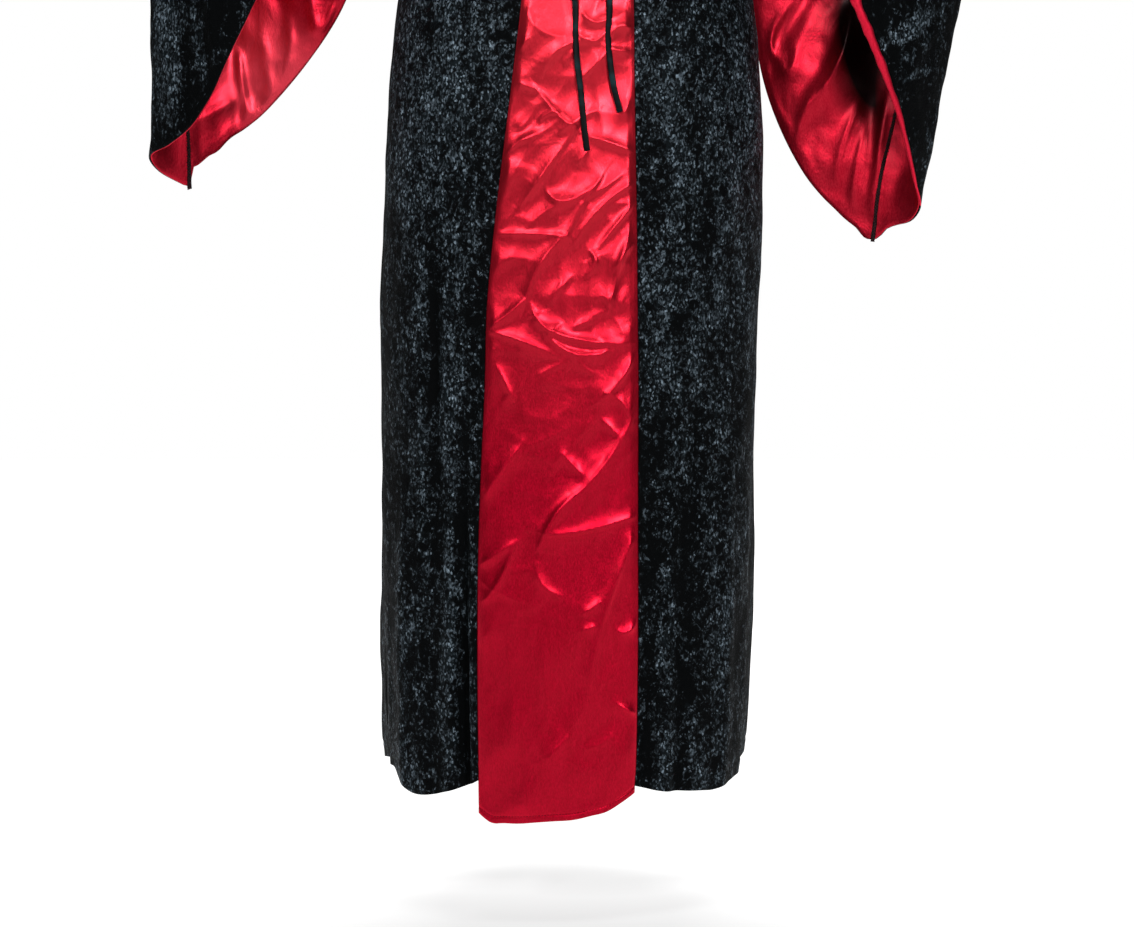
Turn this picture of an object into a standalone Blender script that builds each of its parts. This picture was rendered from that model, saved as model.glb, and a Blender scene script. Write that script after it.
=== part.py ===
"""Vampire costume: a full-length velvet gown with a red satin front panel and bell sleeves.

Metres, +Z up, front towards -Y. The origin lies midway between the neck ends of the shoulder seams.
The wearer's right is at -X. Every cloth piece is a thin wall round a grid of mid-surface points, and
pieces that meet at a seam share the seam's points and the direction across the cloth there.
"""

from math import asin, cos, degrees, pi, radians, sin

import bmesh
import bpy
import numpy as np

# Driving dimensions, metres
VELVET = 0.0020
SATIN = 0.0012
SEAM_GAP = 0.0003
ARMPIT_Z = -0.22
LAST_ROW_Z = -1.300
HEM_Z = -1.370
RIBBON_WIDTH = 0.006
RIBBON_THICK = 0.0008
TIE_LIFT = 0.0018
WAIST_TIE_Z = -0.405
ROUNDNESS = 2.3

# Columns of points across each panel, and rows of points down the pieces
FRONT_COLUMNS = 10
SIDE_COLUMNS = 14
BACK_COLUMNS = 20
YOKE_ROWS = 8
YOKE_SEAM_ROWS = 3
SLEEVE_COLUMNS = 4 * YOKE_ROWS
TIE_STEPS = 6
TIE_END_STEPS = 3
# The side panels' columns lie closer together near the front seam
SIDE_SPREAD = 1.2
ROW_HEIGHTS = (-0.22, -0.27, -0.32, -0.365, -0.41, -0.465, -0.53, -0.60, -0.68, -0.76, -0.84, -0.92,
               -1.00, -1.08, -1.155, -1.23, LAST_ROW_Z)

# The gown's sections: height, middle of its width, half width, depth forward and depth back
SECTIONS = (
    # z, middle_x, half_width, front, back
    (-0.14, 0.000, 0.160, 0.121, 0.112),
    (-0.22, 0.000, 0.168, 0.128, 0.108),
    (-0.27, 0.000, 0.165, 0.136, 0.102),
    (-0.33, 0.000, 0.149, 0.120, 0.094),
    (-0.40, 0.002, 0.141, 0.103, 0.095),
    (-0.47, 0.003, 0.166, 0.114, 0.113),
    (-0.533, 0.003, 0.1829, 0.1245, 0.124),
    (-0.61, 0.003, 0.1915, 0.130, 0.131),
    (-0.74, 0.002, 0.1974, 0.138, 0.138),
    (-0.85, -0.002, 0.1977, 0.145, 0.146),
    (-1.00, -0.004, 0.1957, 0.153, 0.156),
    (-1.12, -0.0035, 0.1971, 0.160, 0.163),
    (-1.22, -0.0045, 0.1957, 0.165, 0.168),
    (-1.30, -0.0058, 0.1935, 0.169, 0.172),
    (-1.37, -0.0075, 0.1880, 0.173, 0.175),
)

# Where the seams of the front panel run: height, x on the wearer's right and left
FRONT_SEAMS = (
    # z, right_x, left_x
    (-0.14, -0.063, 0.063),
    (-0.22, -0.060, 0.061),
    (-0.40, -0.043, 0.056),
    (-0.53, -0.0513, 0.0625),
    (-0.63, -0.0636, 0.0637),
    (-0.73, -0.0759, 0.0658),
    (-0.83, -0.0863, 0.0670),
    (-0.93, -0.0896, 0.0682),
    (-1.04, -0.0949, 0.0679),
    (-1.14, -0.0973, 0.0686),
    (-1.24, -0.0975, 0.0683),
    (-1.32, -0.0967, 0.0670),
    (-1.37, -0.0962, 0.0640),
)

# Folds that run down the skirt: angle from the front towards the wearer's left, half width, depth
# outwards at full strength, and the heights where the fold starts and is full
FOLDS = (
    # angle, half_width, depth, start_z, full_z
    (-31.5, 5.0, -0.020, -0.86, -1.33),
    (-42, 6, -0.005, -0.72, -0.95),
    (-58, 9, 0.006, -0.90, -1.34),
    (-84, 9, -0.014, -1.05, -1.36),
    (22, 5, -0.006, -0.95, -1.35),
    (36, 6, -0.006, -0.88, -1.10),
    (55, 9, 0.005, -0.85, -1.34),
    (80, 9, -0.010, -0.95, -1.34),
    (106, 11, 0.007, -0.62, -1.33),
    (124, 10, -0.022, -0.58, -1.33),
    (143, 9, 0.014, -0.60, -1.30),
    (161, 9, -0.024, -0.55, -1.34),
    (179, 9, 0.012, -0.58, -1.32),
    (197, 9, -0.022, -0.60, -1.33),
    (215, 9, 0.016, -0.56, -1.31),
    (235, 10, -0.024, -0.60, -1.34),
    (256, 11, 0.010, -0.64, -1.32),
)

# The hem's height along each panel, as a share of the way across it
HEM_FRONT = (
    (0.0, -1.360),
    (0.05, -1.369),
    (0.3, -1.3685),
    (0.6, -1.364),
    (0.8, -1.356),
    (1.0, -1.338),
)
HEM_SIDE_RIGHT = (
    (0.0, -1.326),
    (0.2, -1.339),
    (0.4, -1.350),
    (0.5, -1.350),
    (0.62, -1.341),
    (0.72, -1.331),
    (1.0, -1.336),
)
HEM_SIDE_LEFT = ((0.0, -1.331), (0.2, -1.339), (0.5, -1.345), (0.8, -1.339), (1.0, -1.331))
HEM_BACK_RIGHT = ((0.0, -1.336), (0.25, -1.358), (0.6, -1.362), (1.0, -1.364))
HEM_BACK_LEFT = ((0.0, -1.331), (0.25, -1.356), (0.6, -1.362), (1.0, -1.364))

# The yoke's edges on the wearer's left. The right is their mirror image
NECKLINE_Z = -0.14
NECK_POINT = (0.075, 0.0, 0.0)
SHOULDER_TIP = (0.190, 0.004, -0.040)
FRONT_NECKLINE = ((0.0635, -0.088, -0.095), (0.069, -0.046, -0.045))
BACK_NECKLINE = ((0.056, 0.050, -0.016), (0.030, 0.072, -0.027), (0.0, 0.080, -0.030))
BACK_MIDDLE = ((0.0, 0.100, -0.075), (0.0, 0.110, -0.14))
FRONT_ARMHOLE = ((0.152, -0.060, -0.185), (0.144, -0.066, -0.130), (0.163, -0.040, -0.075))
BACK_ARMHOLE = ((0.158, 0.058, -0.185), (0.154, 0.070, -0.130), (0.170, 0.048, -0.075))

# Rings of the sleeves on the way from armhole to cuff. The outward tilt is the angle, from +Z away from
# the body, of the line from the ring's lower side to its upper side
SLEEVE_RINGS = {
    # x, y, z, tilt, half_height, half_depth
    "right": ((-0.258, 0.008, -0.162, 41, 0.078, 0.066), (-0.348, 0.018, -0.283, 88, 0.059, 0.056)),
    "left": ((0.250, 0.008, -0.166, 39, 0.078, 0.066), (0.341, 0.018, -0.292, 85, 0.059, 0.056)),
}

# The cuff's outline: share of the way round from the wrist by way of the front, and the point there
CUFFS = {
    "right": (
        # share, x, y, z
        (0.000, -0.232, -0.020, -0.408),
        (0.085, -0.268, -0.072, -0.440),
        (0.170, -0.304, -0.090, -0.494),
        (0.240, -0.3222, -0.086, -0.530),
        (0.315, -0.3452, -0.082, -0.5785),
        (0.390, -0.3732, -0.070, -0.6321),
        (0.435, -0.3944, -0.056, -0.6607),
        (0.475, -0.4224, -0.033, -0.6839),
        (0.510, -0.4430, 0.000, -0.6989),
        (0.555, -0.4046, 0.030, -0.7280),
        (0.610, -0.3720, 0.049, -0.6890),
        (0.680, -0.3330, 0.058, -0.6607),
        (0.760, -0.2850, 0.064, -0.6080),
        (0.860, -0.2377, 0.058, -0.5346),
        (0.940, -0.2150, 0.030, -0.4600),
    ),
    "left": (
        # share, x, y, z
        (0.000, 0.214, 0.000, -0.420),
        (0.080, 0.248, -0.060, -0.440),
        (0.170, 0.276, -0.084, -0.495),
        (0.230, 0.2882, -0.084, -0.5301),
        (0.300, 0.3070, -0.082, -0.5707),
        (0.360, 0.3230, -0.074, -0.6115),
        (0.420, 0.3402, -0.058, -0.6585),
        (0.475, 0.3559, -0.025, -0.7251),
        (0.510, 0.3600, 0.000, -0.7560),
        (0.560, 0.3183, 0.030, -0.7850),
        (0.620, 0.2850, 0.044, -0.7600),
        (0.690, 0.2500, 0.056, -0.7220),
        (0.770, 0.2170, 0.068, -0.6600),
        (0.850, 0.1967, 0.080, -0.5882),
        (0.930, 0.1930, 0.066, -0.4900),
    ),
}
# Shares of the way down the arm to the two rings and the cuff, and steps of cloth between them
SLEEVE_MARKS = (0.0, 0.11, 0.30, 0.68)
SLEEVE_STEPS = (3, 4, 8)
LINING_FIRST_RING = 9

# Waves that hang in the bells: share of the way round, half width as a share, depth outwards
BELL_WAVES = {
    "right": (
        # share, half_width, depth
        (0.22, 0.05, 0.005),
        (0.33, 0.05, -0.005),
        (0.43, 0.04, 0.004),
        (0.66, 0.05, -0.006),
        (0.80, 0.06, 0.006),
    ),
    "left": (
        # share, half_width, depth
        (0.20, 0.05, 0.004),
        (0.30, 0.05, -0.005),
        (0.50, 0.09, 0.008),
        (0.68, 0.05, -0.006),
        (0.82, 0.06, 0.006),
    ),
}
# The waves are full at this share of the bell's length, and weaken over its last part
WAVE_FULL = 0.625
WAVE_FADE_FROM = 0.8
WAVE_FADE = 0.6

# The free ends of the ribbon tie, from the knot down
TIE_ENDS = {
    "tie_end_right": (
        (0.0107, -0.1100, -0.4113),
        (0.0040, -0.1165, -0.4500),
        (0.0005, -0.1250, -0.4900),
        (0.0030, -0.1300, -0.5285),
        (0.0041, -0.1330, -0.5714),
        (0.0056, -0.1345, -0.5933),
        (0.0091, -0.1365, -0.6203),
        (0.0116, -0.1382, -0.6474),
        (0.0152, -0.1402, -0.6790),
    ),
    "tie_end_left": (
        (0.0173, -0.1098, -0.4113),
        (0.0270, -0.1160, -0.4500),
        (0.0365, -0.1240, -0.4900),
        (0.0382, -0.1290, -0.5285),
        (0.0368, -0.1315, -0.5714),
        (0.0389, -0.1330, -0.5933),
        (0.0423, -0.1345, -0.6154),
        (0.0484, -0.1362, -0.6403),
    ),
}
KNOT_X = 0.014
KNOT_SIZE = (0.014, 0.009, 0.012)

COLOURS = {
    # colour, roughness
    "velvet": ((0.010, 0.012, 0.015, 1.0), 0.85),
    "satin": ((0.62, 0.012, 0.045, 1.0), 0.35),
    "ribbon": ((0.008, 0.010, 0.012, 1.0), 0.40),
}


# Curves and tables

def table_value(table, at, column):
    """One column of a table whose first column falls, read smoothly at a height."""
    xs = np.array([-row[0] for row in table])
    ys = np.array([row[column] for row in table])
    slopes = np.gradient(ys, xs)
    x = min(max(-at, xs[0]), xs[-1])
    i = min(int(np.searchsorted(xs, x, side="right")) - 1, len(xs) - 2)
    width = xs[i + 1] - xs[i]
    t = (x - xs[i]) / width
    return float(
        ys[i] * (1 + 2 * t) * (1 - t) ** 2
        + slopes[i] * width * t * (1 - t) ** 2
        + ys[i + 1] * t * t * (3 - 2 * t)
        + slopes[i + 1] * width * t * t * (t - 1)
    )


def curve_through(points, marks, at, closed=False):
    """A smooth curve through points placed at marks, read at the values in at."""
    points = np.array(points, float)
    marks = np.array(marks, float)
    if closed:
        points = np.vstack([points[-2:], points, points[:2]])
        marks = np.concatenate([marks[-2:] - 1, marks, marks[:2] + 1])
    slopes = np.stack([np.gradient(points[:, k], marks) for k in range(3)], axis=1)
    out = []
    for x in at:
        i = min(max(int(np.searchsorted(marks, x, side="right")) - 1, 0), len(marks) - 2)
        width = marks[i + 1] - marks[i]
        t = (x - marks[i]) / width
        out.append(
            points[i] * (1 + 2 * t) * (1 - t) ** 2
            + slopes[i] * width * t * (1 - t) ** 2
            + points[i + 1] * t * t * (3 - 2 * t)
            + slopes[i + 1] * width * t * t * (t - 1)
        )
    return np.array(out)


def along(points, count):
    """count + 1 points at even steps of a smooth curve through points."""
    points = np.array(points, float)
    steps = np.linalg.norm(np.diff(points, axis=0), axis=1)
    marks = np.concatenate([[0.0], np.cumsum(steps)])
    return curve_through(points, marks, np.linspace(0, marks[-1], count + 1))


def smooth(t):
    t = min(max(t, 0.0), 1.0)
    return t * t * (3 - 2 * t)


# The gown below the armpits

def fold_depth(angle, z):
    """How far the folds push the cloth out at this angle and height."""
    total = 0.0
    for middle, half_width, depth, start, full in FOLDS:
        away = abs((angle - middle + 180) % 360 - 180) / half_width
        if away < 1:
            total += depth * smooth((start - z) / (start - full)) * cos(away * pi / 2) ** 2
    return total


def gown_point(angle, z):
    """A point of the gown's mid-surface. The angle is from the front towards the wearer's left."""
    middle = table_value(SECTIONS, z, 1)
    half = table_value(SECTIONS, z, 2)
    front = table_value(SECTIONS, z, 3)
    back = table_value(SECTIONS, z, 4)
    a = radians(angle)
    across = np.sign(sin(a)) * abs(sin(a)) ** (2 / ROUNDNESS)
    ahead = np.sign(cos(a)) * abs(cos(a)) ** (2 / ROUNDNESS)
    depth = front if ahead > 0 else back
    point = np.array([middle + half * across, -depth * ahead, z])
    outward = np.array([across / half, -ahead / depth, 0.0])
    return point + outward / np.linalg.norm(outward) * fold_depth(angle, z)


def seam_angle(x, z):
    """The angle at which the front of the section has this x."""
    share = (x - table_value(SECTIONS, z, 1)) / table_value(SECTIONS, z, 2)
    return degrees(asin(abs(share) ** (ROUNDNESS / 2))) * np.sign(share)


def panel_angles(name, z):
    """The angles of a panel's columns at a height, from its seam nearer the front to the other one."""
    right = seam_angle(table_value(FRONT_SEAMS, z, 1), z)
    left = seam_angle(table_value(FRONT_SEAMS, z, 2), z)
    if name == "front_centre":
        return np.linspace(right, left, FRONT_COLUMNS + 1)
    closer = np.linspace(0, 1, SIDE_COLUMNS + 1) ** SIDE_SPREAD
    if name == "front_side_right":
        return right + (-90 - right) * closer
    if name == "front_side_left":
        return left + (90 - left) * closer
    if name == "back_right":
        return np.linspace(-90, -180, BACK_COLUMNS + 1)
    return np.linspace(90, 180, BACK_COLUMNS + 1)


HEMS = {
    "front_centre": HEM_FRONT,
    "front_side_right": HEM_SIDE_RIGHT,
    "front_side_left": HEM_SIDE_LEFT,
    "back_right": HEM_BACK_RIGHT,
    "back_left": HEM_BACK_LEFT,
}


def skirt_rows(name):
    """Rows of a panel from armpit height to the hem. The last step is straight."""
    rows = [[gown_point(a, z) for a in panel_angles(name, z)] for z in ROW_HEIGHTS]
    last = np.array(rows[-1])
    nominal = np.array([gown_point(a, HEM_Z) for a in panel_angles(name, HEM_Z)])
    shares = np.linspace(0, 1, len(last))
    heights = np.interp(shares, [h[0] for h in HEMS[name]], [h[1] for h in HEMS[name]])
    t = (heights - LAST_ROW_Z) / (HEM_Z - LAST_ROW_Z)
    rows.append(last + (nominal - last) * t[:, None])
    return np.array(rows)


# The yoke above the armpits

def mirrored(points, side):
    points = np.array(points, float)
    return points * np.array([side, 1, 1])


def princess_top(side):
    """The front panel's seam from the neckline's corner down to armpit height."""
    rows = []
    column = 1 if side < 0 else 2
    for z in np.linspace(NECKLINE_Z, ARMPIT_Z, YOKE_SEAM_ROWS + 1):
        rows.append(gown_point(seam_angle(table_value(FRONT_SEAMS, z, column), z), z))
    return np.array(rows)


def armhole(side, points):
    """An armhole edge from the shoulder tip down to the armpit."""
    top = mirrored([SHOULDER_TIP], side)
    bottom = [gown_point(90 * side, ARMPIT_Z)]
    return along(np.vstack([top, mirrored(points, side)[::-1], bottom]), YOKE_ROWS)


def coons(top, bottom, first, last):
    """Rows of points that fill four edges. first and last run down from top to bottom."""
    rows, columns = len(first), len(top)
    u = np.linspace(0, 1, columns)[None, :, None]
    v = np.linspace(0, 1, rows)[:, None, None]
    across = (1 - v) * top[None] + v * bottom[None]
    down = (1 - u) * first[:, None] + u * last[:, None]
    corners = (
        (1 - u) * (1 - v) * top[0] + u * (1 - v) * top[-1] + (1 - u) * v * bottom[0] + u * v * bottom[-1]
    )
    return across + down - corners


def shoulder_seam(side):
    ends = mirrored([NECK_POINT, SHOULDER_TIP], side)
    t = np.linspace(0, 1, SIDE_COLUMNS + 1)[:, None]
    return ends[0] * (1 - t) + ends[1] * t


def side_yoke(side, skirt):
    """The front side panel above the armpits, from the shoulder seam down."""
    seam = princess_top(side)
    neck = np.vstack([mirrored([NECK_POINT], side), mirrored(FRONT_NECKLINE, side)[::-1], seam[:1]])
    inner = np.vstack([along(neck, YOKE_ROWS - YOKE_SEAM_ROWS)[:-1], seam])
    return coons(shoulder_seam(side), skirt[0], inner, armhole(side, FRONT_ARMHOLE))


def back_yoke(side, skirt):
    """The back panel above the armpits. Its top row is the shoulder seam and then the back neckline."""
    edge = np.vstack([mirrored([NECK_POINT], side), mirrored(BACK_NECKLINE, side)])
    neck = along(edge, BACK_COLUMNS - SIDE_COLUMNS)
    top = np.vstack([shoulder_seam(side)[::-1], neck[1:]])
    middle = along(np.vstack([neck[-1:], mirrored(BACK_MIDDLE, side), skirt[0][-1:]]), YOKE_ROWS)
    return coons(top, skirt[0], armhole(side, BACK_ARMHOLE), middle)


def centre_yoke():
    """The red panel from its neckline down to armpit height."""
    right, left = princess_top(-1), princess_top(1)
    rows = []
    for row, z in enumerate(np.linspace(NECKLINE_Z, ARMPIT_Z, YOKE_SEAM_ROWS + 1)):
        first = seam_angle(table_value(FRONT_SEAMS, z, 1), z)
        last = seam_angle(table_value(FRONT_SEAMS, z, 2), z)
        line = np.array([gown_point(a, z) for a in np.linspace(first, last, FRONT_COLUMNS + 1)])
        line[0], line[-1] = right[row], left[row]
        rows.append(line)
    return np.array(rows)


def panels():
    """Every body panel's grid of mid-surface points, top row first."""
    grids = {}
    for name in HEMS:
        skirt = skirt_rows(name)
        side = -1 if name.endswith("right") else 1
        if name == "front_centre":
            yoke = centre_yoke()
        elif name.startswith("front"):
            yoke = side_yoke(side, skirt)
        else:
            yoke = back_yoke(side, skirt)
        grids[name] = np.vstack([yoke[:-1], skirt])
    return grids


# The sleeves

def armhole_ring(side, grids):
    """The armhole's points, from the armpit up the front edge and down the back, with midpoints."""
    word = "right" if side < 0 else "left"
    front = grids[f"front_side_{word}"][: YOKE_ROWS + 1, -1]
    back = grids[f"back_{word}"][: YOKE_ROWS + 1, 0]
    loop = np.vstack([front[::-1], back[1:-1]])
    ring = []
    for point, following in zip(loop, np.roll(loop, -1, axis=0)):
        ring += [point, (point + following) / 2]
    return np.array(ring)


def arm_ring(side, x, y, z, tilt, half_height, half_depth):
    """An oval ring round the arm, in the same order as the armhole's."""
    turn = radians(tilt)
    upward = np.array([side * sin(turn), 0.0, cos(turn)])
    ring = []
    for k in range(SLEEVE_COLUMNS):
        a = 2 * pi * k / SLEEVE_COLUMNS
        forward = np.array([0.0, half_depth * sin(a), 0.0])
        ring.append(np.array([x, y, z]) - upward * half_height * cos(a) - forward)
    return np.array(ring)


def cuff_ring(word):
    rows = CUFFS[word]
    shares = np.arange(SLEEVE_COLUMNS) / SLEEVE_COLUMNS
    return curve_through([row[1:] for row in rows], [row[0] for row in rows], shares, closed=True)


def sleeve_grid(side, grids):
    """Rings from the armhole to the cuff. Each column is a smooth curve through the key rings."""
    word = "right" if side < 0 else "left"
    upper, elbow = (arm_ring(side, *row) for row in SLEEVE_RINGS[word])
    keys = np.array([armhole_ring(side, grids), upper, elbow, cuff_ring(word)])
    stations = [0.0]
    for i, steps in enumerate(SLEEVE_STEPS):
        stations += list(np.linspace(SLEEVE_MARKS[i], SLEEVE_MARKS[i + 1], steps + 1)[1:])
    columns = [curve_through(keys[:, c], SLEEVE_MARKS, stations) for c in range(SLEEVE_COLUMNS)]
    return add_waves(np.stack(columns, axis=1), stations, BELL_WAVES[word])


def add_waves(rings, stations, waves):
    """Soft waves that grow from the elbow to just above the cuff, and die away at the cuff itself."""
    outward = grid_normals(rings, closed=True)
    for row, station in enumerate(stations):
        t = (station - SLEEVE_MARKS[2]) / (SLEEVE_MARKS[3] - SLEEVE_MARKS[2])
        fade = WAVE_FADE * smooth((t - WAVE_FADE_FROM) / (1 - WAVE_FADE_FROM))
        strength = smooth(t / WAVE_FULL) * (1 - fade)
        for middle, half_width, depth in waves:
            for c in range(SLEEVE_COLUMNS):
                away = abs((c / SLEEVE_COLUMNS - middle + 0.5) % 1 - 0.5) / half_width
                if away < 1:
                    rings[row, c] += outward[row, c] * depth * strength * cos(away * pi / 2) ** 2
    return rings


# Walls

def face_sums(grid, closed):
    """At each point, the sum of the directions across the cells that meet there."""
    ring = np.concatenate([grid, grid[:, :1]], axis=1) if closed else grid
    p, q = ring[:-1, :-1], ring[:-1, 1:]
    r, s = ring[1:, 1:], ring[1:, :-1]
    cells = np.cross(r - p, q - s)
    out = np.zeros_like(ring)
    out[:-1, :-1] += cells
    out[:-1, 1:] += cells
    out[1:, 1:] += cells
    out[1:, :-1] += cells
    if closed:
        out[:, 0] += out[:, -1]
        out = out[:, :-1]
    return out


def unit(vectors):
    return vectors / np.linalg.norm(vectors, axis=-1, keepdims=True)


def grid_normals(grid, closed=False):
    return unit(face_sums(grid, closed))


def point_key(point):
    return tuple(np.round(point * 1e6).astype(int))


def shared_normals(grids, closed, flips):
    """The direction out of the cloth at each point, the same for every piece that shares the point."""
    sums, totals = {}, {}
    for name, grid in grids.items():
        sums[name] = face_sums(grid, name in closed) * flips[name]
        for point, value in zip(grid.reshape(-1, 3), sums[name].reshape(-1, 3)):
            key = point_key(point)
            totals[key] = totals.get(key, 0) + value
    out = {}
    for name, grid in grids.items():
        flat = np.array([totals[point_key(p)] for p in grid.reshape(-1, 3)])
        out[name] = unit(flat).reshape(grid.shape)
    return out


def inset(normals, edge, inner):
    """The step of half the seam's gap that takes an edge away from its seam, within the cloth."""
    tangent = unit(np.gradient(edge, axis=0))
    away = inner - edge
    away = away - (away * tangent).sum(1, keepdims=True) * tangent
    away = away - (away * normals).sum(1, keepdims=True) * normals
    return unit(away) * (SEAM_GAP / 2)


def seam_insets(grid, normals, edges, closed):
    """How far each point moves so that the piece keeps clear of its neighbours at the named edges."""
    moves = np.zeros_like(grid)
    for edge in edges:
        if edge == "first":
            moves[:, 0] += inset(normals[:, 0], grid[:, 0], grid[:, 1])
        elif edge == "last":
            moves[:, -1] += inset(normals[:, -1], grid[:, -1], grid[:, -2])
        elif edge == "top" and closed:
            ring = np.vstack([grid[0, -1:], grid[0], grid[0, :1]])
            across = np.vstack([normals[0, -1:], normals[0], normals[0, :1]])
            below = np.vstack([grid[1, -1:], grid[1], grid[1, :1]])
            moves[0] += inset(across, ring, below)[1:-1]
        else:
            moves[0] += inset(normals[0], grid[0], grid[1])
    return moves


def wall_mesh(name, outer, inner, closed):
    """One closed body between two grids of points. Both sides are cut along the same diagonals."""
    rows, columns = outer.shape[:2]
    count = rows * columns
    verts = np.vstack([outer.reshape(-1, 3), inner.reshape(-1, 3)])

    def face(*corners):
        faces.append([side * count + row * columns + column % columns for row, column, side in corners])

    faces = []
    spans = columns if closed else columns - 1
    for row in range(rows - 1):
        for column in range(spans):
            for side in (0, 1):
                face((row, column, side), (row + 1, column, side), (row + 1, column + 1, side))
                face((row, column, side), (row, column + 1, side), (row + 1, column + 1, side))
    for column in range(spans):
        for row in (0, rows - 1):
            face((row, column, 0), (row, column + 1, 0), (row, column + 1, 1), (row, column, 1))
    if not closed:
        for row in range(rows - 1):
            for column in (0, columns - 1):
                face((row, column, 0), (row, column, 1), (row + 1, column, 1), (row + 1, column, 0))
    mesh = bpy.data.meshes.new(name)
    mesh.from_pydata([tuple(v) for v in verts], [], faces)
    return mesh


def facing_out(mesh):
    """Turns every face outwards."""
    work = bmesh.new()
    work.from_mesh(mesh)
    bmesh.ops.recalc_face_normals(work, faces=work.faces)
    work.to_mesh(mesh)
    work.free()


# Objects

def material(kind):
    found = bpy.data.materials.get(kind)
    if found:
        return found
    colour, roughness = COLOURS[kind]
    made = bpy.data.materials.new(kind)
    made.use_nodes = True
    shader = made.node_tree.nodes["Principled BSDF"]
    shader.inputs["Base Color"].default_value = colour
    shader.inputs["Roughness"].default_value = roughness
    shader.inputs["Metallic"].default_value = 0.0
    made.diffuse_color = colour
    return made


def add_object(name, mesh, kind, collection):
    facing_out(mesh)
    made = bpy.data.objects.new(name, mesh)
    made.data.materials.append(material(kind))
    collection.objects.link(made)
    return made


def add_wall(name, grid, normals, thick, kind, collection, closed=False, sewn=False):
    """A wall round a grid. A sewn tube's first ring is straight between every second point, like its seam."""
    outer = grid + normals * thick / 2
    inner = grid - normals * thick / 2
    if sewn:
        for side in (outer, inner):
            side[0, 1::2] = (side[0, 0::2] + np.roll(side[0, 0::2], -1, axis=0)) / 2
    return add_object(name, wall_mesh(name, outer, inner, closed), kind, collection)


def build_cloth(collection):
    """Every panel and sleeve, with its seams."""
    grids = panels()
    for side, word in ((-1, "right"), (1, "left")):
        grids[f"sleeve_{word}"] = sleeve_grid(side, grids)
    closed = {"sleeve_right", "sleeve_left"}
    flips = {name: -1 if name.endswith("right") else 1 for name in grids}
    normals = shared_normals(grids, closed, flips)
    seams = {
        "front_centre": ("first", "last"),
        "front_side_right": ("first", "last", "top"),
        "front_side_left": ("first", "last", "top"),
        "back_right": ("first", "last", "top"),
        "back_left": ("first", "last", "top"),
        "sleeve_right": ("top",),
        "sleeve_left": ("top",),
    }
    for name, grid in grids.items():
        if name not in closed:
            for column in (0, -1):
                normals[name][-1, column] = normals[name][-2, column]
        thick = SATIN if name == "front_centre" else VELVET
        kind = "satin" if name == "front_centre" else "velvet"
        moved = grid + seam_insets(grid, normals[name], seams[name], name in closed)
        tube = name in closed
        add_wall(name, moved, normals[name], thick, kind, collection, closed=tube, sewn=tube)
    for word in ("right", "left"):
        add_lining(word, grids[f"sleeve_{word}"], normals[f"sleeve_{word}"], collection)
    return grids


def add_lining(word, grid, normals, collection):
    """The satin inside a bell, clear of the velvet by the seam's gap."""
    inside = VELVET / 2 + SEAM_GAP + SATIN / 2
    outward = normals[LINING_FIRST_RING:]
    part = grid[LINING_FIRST_RING:] - outward * inside
    add_wall(f"sleeve_lining_{word}", part, outward, SATIN, "satin", collection, closed=True)


# The ribbon tie

def ribbon_wall(name, middle, across, outward, collection):
    """A flat ribbon along middle."""
    half = across * RIBBON_WIDTH / 2
    grid = np.stack([middle - half, middle + half], axis=1)
    normals = np.stack([outward, outward], axis=1)
    return add_wall(name, grid, normals, RIBBON_THICK, "ribbon", collection)


def add_tie_ends(collection):
    for name, points in TIE_ENDS.items():
        middle = along(points, TIE_END_STEPS * (len(points) - 1))
        tangent = unit(np.gradient(middle, axis=0))
        outward = unit(np.cross(tangent, np.array([1.0, 0.0, 0.0])) * -1)
        ribbon_wall(name, middle, unit(np.cross(outward, tangent)), outward, collection)


def waist_line(grid):
    """The front panel's own points at the tie's height, between its rows."""
    heights = -grid[:, 0, 2]
    row = int(np.searchsorted(heights, -WAIST_TIE_Z)) - 1
    t = (-WAIST_TIE_Z - heights[row]) / (heights[row + 1] - heights[row])
    return grid[row] * (1 - t) + grid[row + 1] * t


def add_tie_sides(line, collection):
    """The two stretches of ribbon that run over the front panel from its seams to the knot."""
    steps = np.concatenate([[0.0], np.cumsum(np.linalg.norm(np.diff(line, axis=0), axis=1))])
    knot_mark = float(np.interp(KNOT_X, line[:, 0], steps))
    clear = KNOT_SIZE[0] / 2 + SEAM_GAP
    spans = {
        "tie_right": (SEAM_GAP * 2, knot_mark - clear),
        "tie_left": (knot_mark + clear, steps[-1] - SEAM_GAP * 2),
    }
    for name, (start, end) in spans.items():
        marks = np.linspace(start, end, TIE_STEPS + 1)
        middle = np.stack([np.interp(marks, steps, line[:, k]) for k in range(3)], axis=1)
        tangent = unit(np.gradient(middle, axis=0))
        up = np.tile([0.0, 0.0, 1.0], (len(middle), 1))
        outward = unit(np.cross(tangent, up))
        ribbon_wall(name, middle + outward * TIE_LIFT, up, outward, collection)


def add_knot(line, collection):
    """The small rounded knot in front of the panel."""
    front = float(np.interp(KNOT_X, line[:, 0], line[:, 1]))
    work = bmesh.new()
    bmesh.ops.create_uvsphere(work, u_segments=12, v_segments=8, radius=0.5)
    for vert in work.verts:
        vert.co.x = vert.co.x * KNOT_SIZE[0] + KNOT_X
        vert.co.y = vert.co.y * KNOT_SIZE[1] + front - SATIN / 2 - 2 * SEAM_GAP - KNOT_SIZE[1] / 2
        vert.co.z = vert.co.z * KNOT_SIZE[2] + WAIST_TIE_Z
    mesh = bpy.data.meshes.new("tie_knot")
    work.to_mesh(mesh)
    work.free()
    add_object("tie_knot", mesh, "ribbon", collection)


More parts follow.
